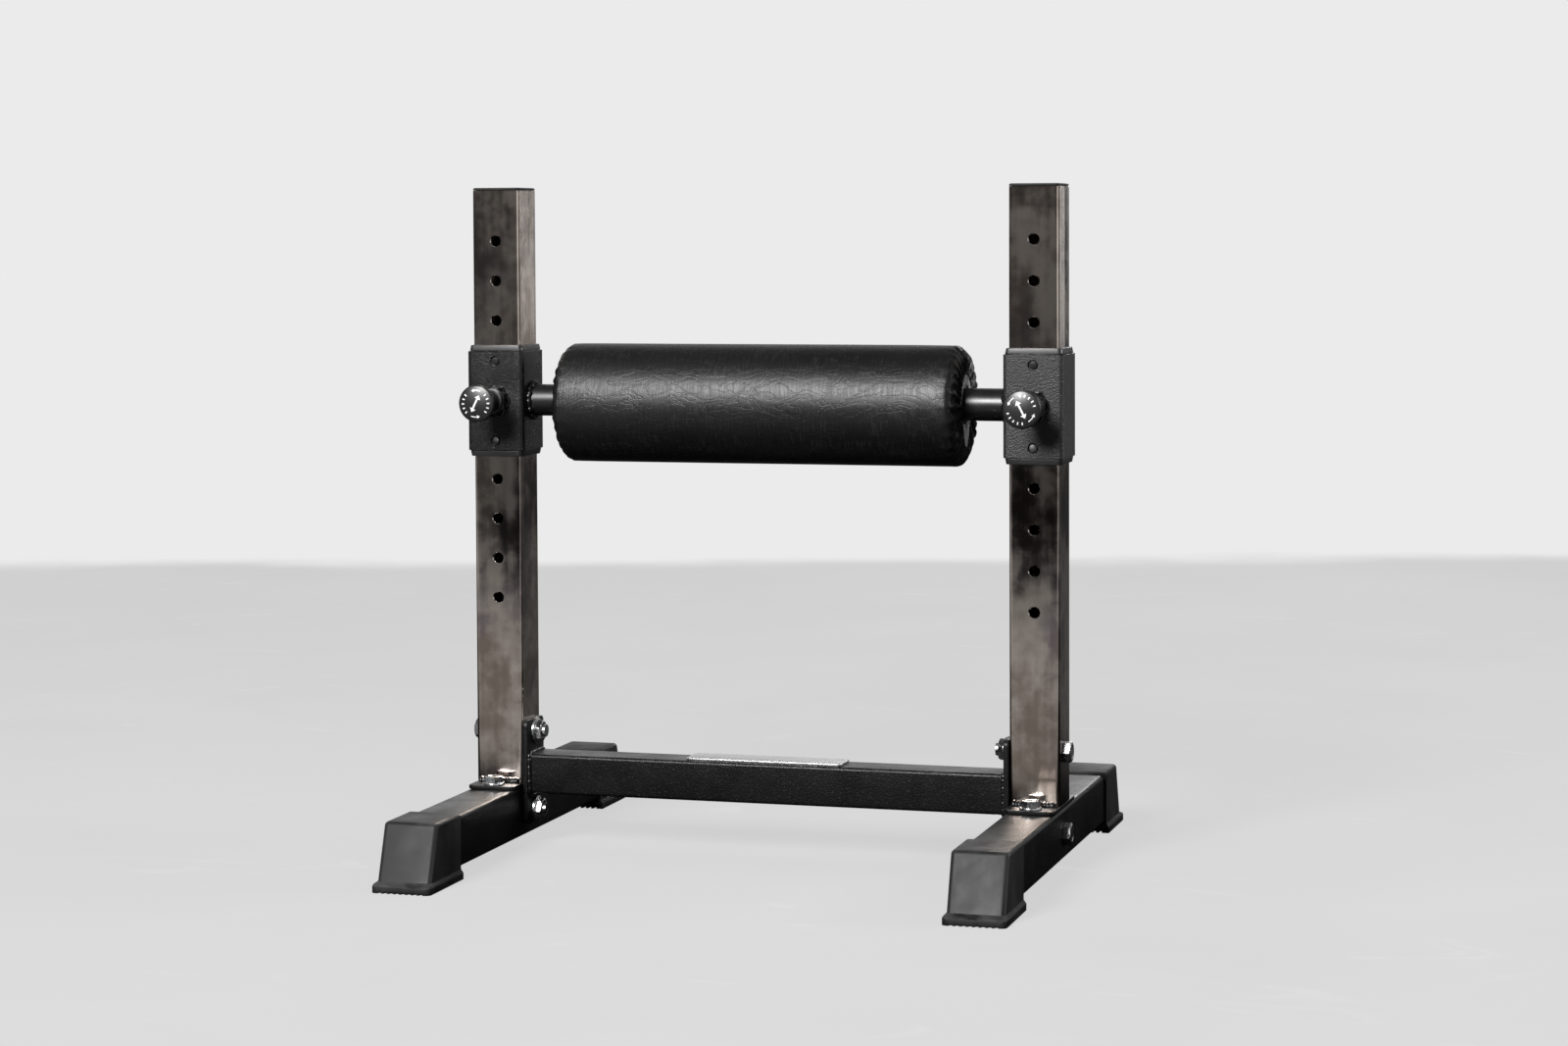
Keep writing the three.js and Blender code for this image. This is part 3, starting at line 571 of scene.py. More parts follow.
@dataclass(frozen=True)
class ClearedSteel(Finish):
    """Raw tube steel under a clear coat, blotched brown and violet, with pale rims round the
    holes: bared steel, partly a painted highlight.
    """

    violet: Colour = (0.32, 0.27, 0.275, 1.0)
    pale: Colour = (0.87, 0.77, 0.69, 1.0)
    bared: Colour = (0.8, 0.76, 0.72, 1.0)
    smooth: float = 0.11
    rough: float = 0.18
    drawn: float = 0.6
    coat: float = 0.3
    coat_rough: float = 0.04

    def dress(self, nodes: Nodes) -> dict[str, object]:
        """Builds blotches, streaks and pale hole rims under the coat, the rims partly a painted
        highlight.

        Args:
            nodes: the material's nodes.

        Returns:
            What feeds the shader's inputs, by name.
        """
        steel, rim_highlights = nodes.effect(DrawnSteel), nodes.effect(HoleRims)
        toned = nodes.blend(steel["Tint"], self.colour, self.violet)
        toned = nodes.blend(steel["Tone"], toned, self.pale)
        return {
            # Pale rings round the holes: bared steel, partly a painted highlight.
            "Base Color": nodes.blend(rim_highlights["Mask"], toned, self.bared),
            "Roughness": steel["Tone"].span(0.0, 1.0, self.smooth, self.rough),
            "Normal": nodes.relief(steel["Height"], 0.5, 0.0026),
            "Anisotropic": self.drawn,
            "Coat Weight": self.coat,
            "Coat Roughness": self.coat_rough,
        }


@dataclass(frozen=True)
class Rubber(Finish):
    """Moulded rubber with a fine matte skin and faint flow marks."""

    pale: Colour = (0.013, 0.013, 0.0135, 1.0)
    dust: float = 0.12

    def dress(self, nodes: Nodes) -> dict[str, object]:
        """Builds the skin, flow marks and dust.

        Args:
            nodes: the material's nodes.

        Returns:
            What feeds the shader's inputs, by name.
        """
        skin = nodes.effect(PowderGrain, Fineness=1300.0, Dull=0.56, Bright=0.48)
        flow = nodes.noise(45.0, 5.0, 0.3, (1.0, 1.0, 0.5))
        dust = nodes.effect(SettledDust, Amount=self.dust)
        toned = nodes.blend(flow.span(0.35, 0.68), self.colour, self.pale)
        return {
            "Base Color": nodes.blend(dust["Mask"], toned, DUST),
            "Roughness": flow * 0.3 + skin["Roughness"] - 0.15,
            "Normal": nodes.relief(skin["Height"], 0.3, 0.0002),
        }


@dataclass(frozen=True)
class Plastic(Finish):
    """Moulded black plastic, printed where it is a knob."""

    dull: float = 0.42
    bright: float = 0.34
    fleck: Colour = (0.05, 0.05, 0.05, 1.0)
    printed: bool = False
    ink: Colour = (0.66, 0.66, 0.65, 1.0)

    def dress(self, nodes: Nodes) -> dict[str, object]:
        """Builds the moulded skin and the print.

        Args:
            nodes: the material's nodes.

        Returns:
            What feeds the shader's inputs, by name.
        """
        skin = nodes.effect(PowderGrain, Fineness=900.0, Dull=self.dull, Bright=self.bright)
        toned = nodes.blend(skin["Fleck"] * 0.3, self.colour, self.fleck)
        if self.printed:
            toned = nodes.blend(nodes.effect(DialPrint)["Mask"], toned, self.ink)
        return {
            "Base Color": toned,
            "Roughness": skin["Roughness"],
            "Normal": nodes.relief(skin["Height"], 0.2, 0.0002),
        }


@dataclass(frozen=True)
class BareMetal(Finish):
    """Plated or brushed metal with faint cloudiness and hairlines."""

    shade: Colour = (0.56, 0.56, 0.57, 1.0)
    smooth: float = 0.18
    rough: float = 0.3
    lines: Triple = (1.0, 1.0, 1.0)

    def dress(self, nodes: Nodes) -> dict[str, object]:
        """Builds clouds, hairlines and a slight unevenness.

        Args:
            nodes: the material's nodes.

        Returns:
            What feeds the shader's inputs, by name.
        """
        clouds = nodes.noise(160.0, 4.0, 0.4).span(0.35, 0.7)
        hair = nodes.noise(900.0, 2.0, stretch=self.lines)
        share = hair * 0.5 + clouds * 0.5
        return {
            "Base Color": nodes.blend(clouds, self.colour, self.shade),
            "Roughness": share.span(0.2, 0.8, self.smooth, self.rough),
            "Normal": nodes.relief(hair, 0.15, 0.00015),
        }


@dataclass(frozen=True)
class Leather(Finish):
    """Black imitation leather, finely creased round the roller."""

    worn: Colour = (0.004, 0.004, 0.0042, 1.0)
    scuffed: Colour = (0.008, 0.008, 0.0083, 1.0)

    def dress(self, nodes: Nodes) -> dict[str, object]:
        """Builds creases, slack waves and scuffs.

        Args:
            nodes: the material's nodes.

        Returns:
            What feeds the shader's inputs, by name.
        """
        grain = nodes.effect(LeatherGrain)
        toned = nodes.blend(grain["Tone"], self.colour, self.worn)
        waves = nodes.relief(grain["Waves"], 0.2, 0.002)
        return {
            "Base Color": nodes.blend(grain["Scuff"], toned, self.scuffed),
            "Roughness": grain["Height"].span(0.35, 0.8, 0.4, 0.48),
            "Normal": nodes.relief(grain["Height"], 0.4, 0.00045, waves),
        }


@dataclass(frozen=True)
class Foam(Finish):
    """Pale closed-cell foam with open pores where it was cut, their pits painted darker as painted
    shade.
    """

    pore: Colour = (0.6, 0.61, 0.62, 1.0)

    def dress(self, nodes: Nodes) -> dict[str, object]:
        """Builds the pores, with painted shade in their pits.

        Args:
            nodes: the material's nodes.

        Returns:
            What feeds the shader's inputs, by name.
        """
        read = {"Vector": nodes.place(), "Scale": 800.0}
        cells = nodes.make("ShaderNodeTexVoronoi", named=read, output="Distance").span(0.1, 0.6)
        return {
            # The pits of the bump take the darker pore colour: painted shade.
            "Base Color": nodes.blend(cells, self.pore, self.colour),
            "Roughness": cells.span(0.0, 1.0, 0.95, 0.8),
            "Normal": nodes.relief(cells, 0.5, 0.0005),
        }


POWDER = Coating(
    "Black powder coat", Slot.POWDER, (0.003, 0.003, 0.0031, 1.0), specular=0.22,
    fineness=620.0, dull=0.41, bright=0.33, strength=0.6, depth=0.0006,
)
SLEEVE_POWDER = Coating(
    "Sleeve powder coat", Slot.POWDER, (0.007, 0.007, 0.0072, 1.0), fineness=640.0,
    dull=0.54, bright=0.45, strength=0.8, depth=0.0008, fleck=(0.09, 0.09, 0.092, 1.0),
)
# A darker, smoother copy of the sleeve coat for the left sleeve: its darker colour is painted
# shade.
SHADED_SLEEVE_POWDER = Coating(
    "Smoother sleeve powder coat", Slot.POWDER, (0.0045, 0.0045, 0.0047, 1.0),
    fineness=640.0, dull=0.33, bright=0.26, strength=0.7, depth=0.0005,
)
GLOSS = Coating(
    "Black gloss paint", Slot.GLOSS, (0.004, 0.004, 0.0042, 1.0), fineness=300.0,
    dull=0.4, bright=0.34, strength=0.1, dust=0.02,
)
WELD = Coating(
    "Painted weld", Slot.POWDER, (0.004, 0.004, 0.0042, 1.0), fineness=450.0,
    dull=0.3, bright=0.18, strength=0.4, dust=0.02,
)
STEEL = ClearedSteel("Clear-coated steel", Slot.STEEL, (0.4, 0.322, 0.27, 1.0), metallic=1.0)
RUBBER = Rubber("Foot rubber", Slot.RUBBER, (0.005, 0.005, 0.0053, 1.0), specular=0.24)
PLASTIC = Plastic("Black plastic", Slot.PLASTIC, (0.009, 0.009, 0.0093, 1.0))
CAP = Plastic(
    "Cap plastic", Slot.PLASTIC, (0.006, 0.006, 0.0062, 1.0), specular=0.15, dull=0.7, bright=0.6
)
KNOB = Plastic("Knob plastic", Slot.PLASTIC, (0.006, 0.006, 0.0062, 1.0), printed=True)
ZINC = BareMetal("Bright zinc", Slot.ZINC, (0.82, 0.83, 0.84, 1.0), metallic=1.0)
BADGE = BareMetal(
    "Bare badge plate", Slot.BADGE, (0.54, 0.54, 0.54, 1.0), metallic=1.0,
    smooth=0.34, rough=0.48, lines=(0.05, 1.0, 1.0),
)
SPRING = BareMetal("Spring steel", Slot.SPRING, (0.5, 0.5, 0.51, 1.0), metallic=1.0)
LEATHER = Leather("Roller leather", Slot.LEATHER, (0.0022, 0.0022, 0.0023, 1.0), specular=0.36)
FOAM = Foam("Roller foam", Slot.FOAM, (0.92, 0.93, 0.94, 1.0))
CORE = BareMetal(
    "Core tube", Slot.CORE, (0.35, 0.35, 0.36, 1.0), metallic=0.7, smooth=0.35, rough=0.5
)


# Modelling


def clear() -> None:
    """Leaves edit mode and deselects everything."""
    if bpy.context.object and bpy.context.object.mode != "OBJECT":
        bpy.ops.object.mode_set(mode="OBJECT")
    bpy.ops.object.select_all(action="DESELECT")


def pick(*pieces: Piece) -> None:
    """Selects only some pieces.

    Args:
        pieces: the pieces, of which the first becomes active.
    """
    clear()
    for piece in pieces:
        piece.select_set(True)
    bpy.context.view_layer.objects.active = pieces[0]


def settle(piece: Piece, at: Triple = (0, 0, 0), turn: Triple = (0, 0, 0)) -> Piece:
    """Turns a piece about the origin, moves it, and puts both into its mesh.

    Args:
        piece: the object.
        at: how far it is moved.
        turn: its rotation about X, Y and Z in radians.

    Returns:
        The same object, at the origin.
    """
    if any(at):
        piece.location = at
    if any(turn):
        piece.rotation_euler = turn
    pick(piece)
    bpy.ops.object.transform_apply(location=True, rotation=True, scale=True)
    return piece


@contextmanager
def editing(piece: Piece) -> Iterator[None]:
    """Edit mode on one piece, left again at the end of the with block.

    Args:
        piece: the object.

    Returns:
        The with block's context, which gives nothing.
    """
    pick(piece)
    bpy.ops.object.mode_set(mode="EDIT")
    yield
    bpy.ops.object.mode_set(mode="OBJECT")


def choose(piece: Piece, kind: Kind, test: Test = lambda element: True) -> None:
    """Selects, in edit mode, what passes a test.

    Args:
        piece: the object in edit mode.
        kind: whether vertices, edges or faces are tested.
        test: takes one element and says whether it is selected.
    """
    bpy.ops.mesh.select_mode(type=kind.name)
    bpy.ops.mesh.select_all(action="DESELECT")
    mesh = bmesh.from_edit_mesh(piece.data)
    for element in getattr(mesh, kind.value):
        if test(element):
            element.select_set(True)
    mesh.select_flush_mode()
    bmesh.update_edit_mesh(piece.data)


def pull(x: float, y: float, z: float) -> None:
    """Extrudes what is selected by an offset."""
    bpy.ops.mesh.extrude_region_move(TRANSFORM_OT_translate={"value": (x, y, z)})


def middle(element: bmesh.types.BMEdge | bmesh.types.BMFace) -> Vector:
    """The mean of an edge's or a face's corners."""
    return sum((vertex.co for vertex in element.verts), Vector()) / len(element.verts)


def along(edge: bmesh.types.BMEdge, axis: Axis) -> bool:
    """Whether an edge runs mainly along an axis."""
    direction = edge.verts[1].co - edge.verts[0].co
    return abs(direction[axis.value]) > 0.7 * direction.length


def looks_down(face: bmesh.types.BMFace) -> bool:
    """Whether a face looks down."""
    return face.normal.z < -0.9


def close(piece: Piece, gap: float = 0.0) -> None:
    """Merges doubles and turns the faces outwards, in edit mode.

    Args:
        piece: the object in edit mode.
        gap: the distance under which points are merged, or 0 to keep them all.
    """
    choose(piece, Kind.VERT)
    if gap:
        bpy.ops.mesh.remove_doubles(threshold=gap)
    bpy.ops.mesh.normals_make_consistent(inside=False)


def closed(piece: Piece, gap: float = 0.0) -> Piece:
    """Closes a piece in an edit of its own.

    Args:
        piece: the object.
        gap: the distance under which points are merged, or 0 to keep them all.

    Returns:
        The same piece.
    """
    with editing(piece):
        close(piece, gap)
    return piece


def block(size: Triple, centre: Triple) -> Piece:
    """Adds a box.

    Args:
        size: its length along X, Y and Z.
        centre: its middle.

    Returns:
        The new piece.
    """
    clear()
    bpy.ops.mesh.primitive_cube_add(size=1.0, location=centre, scale=size)
    return settle(bpy.context.object)


def round_edges(piece: Piece, width: float, steps: int, test: Test) -> None:
    """Bevels the edges that pass a test.

    Args:
        piece: the object.
        width: how far the bevel reaches.
        steps: its segments.
        test: takes an edge and says whether it is bevelled.
    """
    with editing(piece):
        choose(piece, Kind.EDGE, test)
        bpy.ops.mesh.bevel(offset=width, segments=steps, affect="EDGES")


def modified(piece: Piece, kind: str, **settings: object) -> Piece:
    """Adds a modifier and applies it.

    Args:
        piece: the object.
        kind: the modifier's type.
        settings: its properties.

    Returns:
        The same piece.
    """
    pick(piece)
    bpy.ops.object.modifier_add(type=kind)
    modifier = piece.modifiers[-1]
    for name, value in settings.items():
        setattr(modifier, name, value)
    bpy.ops.object.modifier_apply(modifier=modifier.name)
    return piece


def soften(piece: Piece, width: float, steps: int, angle: float) -> Piece:
    """Breaks every edge that is sharper than an angle in degrees."""
    limit = {"limit_method": "ANGLE", "angle_limit": math.radians(angle)}
    return modified(piece, "BEVEL", width=width, segments=steps, **limit)


def drop(*pieces: Piece) -> None:
    """Removes pieces and their meshes.

    Args:
        pieces: the pieces.
    """
    for piece in pieces:
        data = piece.data
        bpy.data.objects.remove(piece)
        bpy.data.meshes.remove(data)


def carve(piece: Piece, cutter: Piece, operation: str = "DIFFERENCE") -> Piece:
    """Cuts a piece with another one, which is used up.

    Args:
        piece: the object that is cut.
        cutter: the tool.
        operation: the boolean's name.

    Returns:
        The same piece.
    """
    modified(piece, "BOOLEAN", operation=operation, solver="EXACT", object=cutter)
    drop(cutter)
    return piece


def merged(*pieces: Piece) -> Piece:
    """Joins pieces into the first one.

    Args:
        pieces: the pieces, of which the first takes in the others.

    Returns:
        The first piece.
    """
    pick(*pieces)
    if len(pieces) > 1:
        bpy.ops.object.join()
    return pieces[0]


def copied(
    piece: Piece, at: Triple = (0, 0, 0), turn: Triple = (0, 0, 0), flip: bool = False
) -> Piece:
    """Makes a copy with its own mesh, turned about the origin and then moved.

    Args:
        piece: the object that is copied.
        at: how far it is moved.
        turn: its rotation about X, Y and Z in radians.
        flip: mirrors it in X first.

    Returns:
        The copy, settled.
    """
    pick(piece)
    bpy.ops.object.duplicate(linked=False)
    twin = bpy.context.object
    if flip:
        twin.scale = (-1.0, 1.0, 1.0)
        closed(settle(twin))
    return settle(twin, at, turn)


def outline(points: Sequence[Triple]) -> Piece:
    """Draws a chain of edges by extruding one corner from point to point.

    Args:
        points: the chain's corners.

    Returns:
        The chain as a mesh of edges.
    """
    clear()
    bpy.ops.mesh.primitive_plane_add(size=HAIRLINE, location=(0, 0, 0))
    piece = settle(bpy.context.object)
    with editing(piece):
        choose(piece, Kind.VERT)
        bpy.ops.mesh.merge(type="CENTER")
        bpy.ops.transform.translate(value=points[0])
        for here, there in zip(points, points[1:]):
            step = Vector(there) - Vector(here)
            bpy.ops.mesh.extrude_vertices_move(TRANSFORM_OT_translate={"value": step})
    return piece


def turned(
    profile: Sequence[tuple[float, float]], axis: Axis, steps: int, centre: Triple = (0, 0, 0)
) -> Piece:
    """Spins a profile into a closed round piece.

    Args:
        profile: pairs of radius and place along the axis.
        axis: the axis of the spin.
        steps: how many faces go round.
        centre: where the axis and its zero lie.

    Returns:
        The new piece, with its faces pointing out.
    """
    aside = Axis((axis.value + 1) % 3).unit
    piece = outline([tuple(aside * radius + axis.unit * place) for radius, place in profile])
    whole = {"angle": 2 * HALF_TURN, "center": (0, 0, 0), "axis": axis.unit}
    with editing(piece):
        choose(piece, Kind.EDGE)
        bpy.ops.mesh.spin(steps=steps, use_auto_merge=True, **whole)
        close(piece, HAIRLINE / 100)
    return settle(piece, centre)


def bore(
    piece: Piece,
    diameter: float,
    axis: Axis,
    centres: Iterable[Triple],
    depth: float,
    rim: float = 0.0,
) -> Piece:
    """Drills round holes, with a small countersink at the end that lies down the axis.

    Args:
        piece: the object that is drilled.
        diameter: the holes' diameter.
        axis: the direction of drilling.
        centres: the middle of each hole.
        depth: the length of the drill.
        rim: the countersink's width, which starts at minus a half of the depth.

    Returns:
        The same piece.
    """
    radius, half = diameter / 2, depth / 2
    low = [(0, -half), (radius, -half)]
    if rim:
        wide = radius + half + rim
        low = [(0, -2 * half), (wide, -2 * half), (radius + rim, -half), (radius, rim - half)]
    drill = turned([*low, (radius, half), (0, half)], axis, 40)
    drills = [copied(drill, centre) for centre in centres]
    drop(drill)
    return carve(piece, merged(*drills))


def square_tube(
    side: float, wall: float, corner: float, length: float, axis: Axis, centre: Triple
) -> Piece:
    """Makes a hollow square tube with rounded corners and bridged ends.

    Args:
        side: its outer width.
        wall: its wall.
        corner: the outer corners' radius.
        length: its length.
        axis: the direction it lies in.
        centre: its middle.

    Returns:
        The new piece.
    """
    size = [length if number == axis.value else side for number in range(3)]
    piece = block(size, (0, 0, 0))
    round_edges(piece, corner, 8, lambda edge: along(edge, axis))
    with editing(piece):
        choose(piece, Kind.FACE, lambda face: abs(face.normal[axis.value]) > 0.9)
        bpy.ops.mesh.inset(thickness=wall)
        bpy.ops.mesh.bridge_edge_loops()
    soften(closed(piece), 0.0003, 1, 40.0)
    return settle(piece, centre)


def slab(size: Triple, corner: float, edge: float, centre: Triple, axis: Axis = Axis.Z) -> Piece:
    """Makes a plate with round corners and broken edges.

    Args:
        size: its length along X, Y and Z.
        corner: the radius of the corners that run along the axis.
        edge: the width of the broken edges.
        centre: its middle.
        axis: the direction of its thickness.

    Returns:
        The new piece.
    """
    piece = block(size, centre)
    round_edges(piece, corner, 7, lambda side: along(side, axis))
    return soften(piece, edge, 2, 40.0)


def hexagon(flats: float, height: float, both: bool = False) -> Piece:
    """Makes a hexagon along Z whose corners are turned off at a flat angle.

    Args:
        flats: the width across its flats.
        height: its height above zero.
        both: turns off the corners at the lower end too.

    Returns:
        The new piece.
    """
    clear()
    size = {"radius": flats / math.sqrt(3), "depth": height}
    bpy.ops.mesh.primitive_cylinder_add(vertices=6, location=(0, 0, height / 2), **size)
    piece = settle(bpy.context.object)
    reach, face = flats * 0.7, flats * 0.475
    fall = (reach - face) / math.sqrt(3)
    low = [(face, 0.0), (reach, fall)] if both else [(reach, 0.0)]
    high = [(reach, height - fall), (face, height), (0, height)]
    carve(piece, turned([(0, 0), *low, *high], Axis.Z, 48), "INTERSECT")
    return soften(piece, 0.00018, 1, 25.0)


def bead(
    points: Sequence[Triple], radius: float, ring: bool, pitch: float, sway: float
) -> Piece:
    """Lays a rippled weld bead along a path.

    Args:
        points: the path.
        radius: the bead's mean radius.
        ring: joins the path's end to its start.
        pitch: the distance between ripples.
        sway: how far the bead wanders from its path.

    Returns:
        The bead as a mesh.
    """
    wire = outline([*points, points[0]] if ring else points)
    with editing(wire):
        choose(wire, Kind.VERT)
        bpy.ops.mesh.remove_doubles(threshold=HAIRLINE)
    pick(wire)
    bpy.ops.object.convert(target="CURVE")
    wire = bpy.context.object
    wire.data.bevel_depth = radius
    wire.data.bevel_resolution = 2
    wire.data.use_fill_caps = not ring
    picker = random.Random(SEED)
    travelled = 0.0
    last: Vector | None = None
    for point in wire.data.splines[0].points:
        here = Vector(point.co[:3])
        travelled += (here - last).length if last else 0.0
        last = here
        wave = math.sin(2 * HALF_TURN * travelled / pitch)
        point.radius = 1.0 + 0.13 * wave + picker.uniform(-0.05, 0.05)
        lean = math.sin(HALF_TURN * travelled / pitch)
        stray = Vector([picker.uniform(-1, 1) for _ in range(3)])
        shift = stray * 0.25 + Vector((lean, lean, lean)) * 0.4
        point.co = (*(here + shift * sway), 1.0)
    bpy.ops.object.convert(target="MESH")
    return closed(wire, HAIRLINE / 20)


def ring_path(radius: float, step: float, centre: Triple) -> list[Triple]:
    """Points on a circle across X.

    Args:
        radius: the circle's radius.
        step: the distance between points.
        centre: its middle.

    Returns:
        The points, without the first one again at the end.
    """
    count = round(2 * HALF_TURN * radius / step)
    x, y, z = centre
    angles = [2 * HALF_TURN * number / count for number in range(count)]
    return [(x, y + radius * math.cos(turn), z + radius * math.sin(turn)) for turn in angles]


def square_path(side: float, corner: float, step: float, centre: Triple) -> list[Triple]:
    """Points on a square with round corners across X.

    Args:
        side: the square's width.
        corner: the radius of its corners.
        step: the distance between points.
        centre: its middle.

    Returns:
        The points, without the first one again at the end.
    """
    flat = side / 2 - corner
    count = int(2 * flat / step)
    quarter = [(flat + corner, flat * (2 * row * step / (2 * flat) - 1)) for row in range(count)]
    bends = max(3, round(QUARTER_TURN * corner / step))
    for number in range(bends):
        angle = QUARTER_TURN * number / bends
        quarter.append((flat + corner * math.cos(angle), flat + corner * math.sin(angle)))
    spins = [Matrix.Rotation(turn * QUARTER_TURN, 2) for turn in range(4)]
    points = [spin @ Vector(point) for spin in spins for point in quarter]
    x, y, z = centre
    return [(x, y + across, z + up) for across, up in points]


def fit(
    piece: Piece,
    name: str,
    body: Body,
    finish: Finish,
    crease: float = 32.0,
    solid: bool = True,
) -> Piece:
    """Gives a finished shape its name and finish, and hangs it on its body.

    Args:
        piece: the shape, settled.
        name: the solid that it stands for, or its own name where there is none.
        body: the body that it rides on.
        finish: its finish.
        crease: the least angle that stays sharp in shading, in degrees.
        solid: whether it stands for a solid.

    Returns:
        The same piece.
    """
    piece.name = piece.data.name = f"{name}_shown" if solid else name
    piece.data.materials.clear()
    piece.data.materials.append(finish.material())
    pick(piece)
    bpy.ops.object.shade_smooth_by_angle(angle=math.radians(crease))
    if solid:
        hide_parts(name)
    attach(piece, body.value)
    LOG.info("piece %s on %s: %d faces", piece.name, body.value, len(piece.data.polygons))
    return piece


def paint(node: str, finish: Finish) -> None:
    """Gives a solid that keeps its shape, hidden inside, its finish.

    Args:
        node: the solid's name.
        finish: its finish.
    """
    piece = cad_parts[node]
    if not piece.material_slots:
        piece.data.materials.append(finish.material())
    for slot in piece.material_slots:
        slot.material = finish.material()
    LOG.info("solid %s keeps its shape", node)


# Frame


@dataclass
class Uprights:
    """The two pinned uprights with their caps and foot welds."""

    side: float = 0.050
    wall: float = 0.0025
    corner: float = 0.004
    bottom: float = 0.0651
    top: float = 0.6637
    holes: int = 10
    pitch: float = 0.040
    top_hole: float = 0.6127
    hole: float = 0.0106
    hole_rim: float = 0.0007
    drill: float = 0.006
    cross_hole: float = 0.013
    cross_at: tuple[float, float] = (-0.003, 0.1155)
    flange: float = 0.0023
    crown: float = 0.0019
    plug: float = 0.014
    plug_wall: float = 0.002
    weld: float = 0.0042
    weld_points: int = 42

    def tube(self) -> Piece:
        """Makes one upright about x = 0.

        Returns:
            The upright.
        """
        centre = (0, 0, (self.top + self.bottom) / 2)
        length = self.top - self.bottom
        tube = square_tube(self.side, self.wall, self.corner, length, Axis.Z, centre)
        y = self.drill / 2 - self.side / 2
        places = [(0, y, self.top_hole - number * self.pitch) for number in range(self.holes)]
        bore(tube, self.hole, Axis.Y, places, self.drill, self.hole_rim)
        reach = self.side + self.drill
        return bore(tube, self.cross_hole, Axis.X, [(0, *self.cross_at)], reach)

    def cap(self) -> Piece:
        """Makes one plastic cap about x = 0, with its plug in the tube.

        Returns:
            The cap.
        """
        base = self.top + HAIRLINE
        cap = block((self.side, self.side, self.flange), (0, 0, base + self.flange / 2))
        top = base + self.flange - HAIRLINE
        round_edges(cap, self.corner, 7, lambda edge: along(edge, Axis.Z))
        round_edges(cap, self.crown, 4, lambda edge: middle(edge).z > top)
        with editing(cap):
            choose(cap, Kind.FACE, looks_down)
            bpy.ops.mesh.inset(thickness=self.wall + HAIRLINE)
            pull(0, 0, -self.plug)
            bpy.ops.mesh.inset(thickness=self.plug_wall)
            pull(0, 0, self.plug - HAIRLINE)
        return cap

    def foot_weld(self) -> Piece:
        """Makes the bead along the front foot of an upright about x = 0.

        Returns:
            The bead.
        """
        half, count = self.side / 2 - self.corner, self.weld_points
        y, z = -self.side / 2 - 0.0006, self.bottom + 0.0004
        points = [(half * (2 * number / count - 1), y, z) for number in range(count + 1)]
        return bead(points, self.weld, False, 0.0038, 0.0005)

    def build(self) -> None:
        """Makes both uprights with their caps and welds."""
        tube, cap, weld = self.tube(), self.cap(), self.foot_weld()
        for side in Side:
            at, label = (side.value * SPACING, 0, 0), side.label
            fit(copied(tube, at), f"{label}_upright", Body.FRAME, STEEL, 25.0)
            fit(copied(cap, at), f"{label}_upright_cap", Body.FRAME, CAP)
            for end in End:
                line = copied(weld, at, (0, 0, 0.0 if end is End.FRONT else HALF_TURN))
                name = f"{label}_{end.label}_upright_weld"
                fit(line, name, Body.FRAME, WELD, 60.0, solid=False)
        drop(tube, cap, weld)


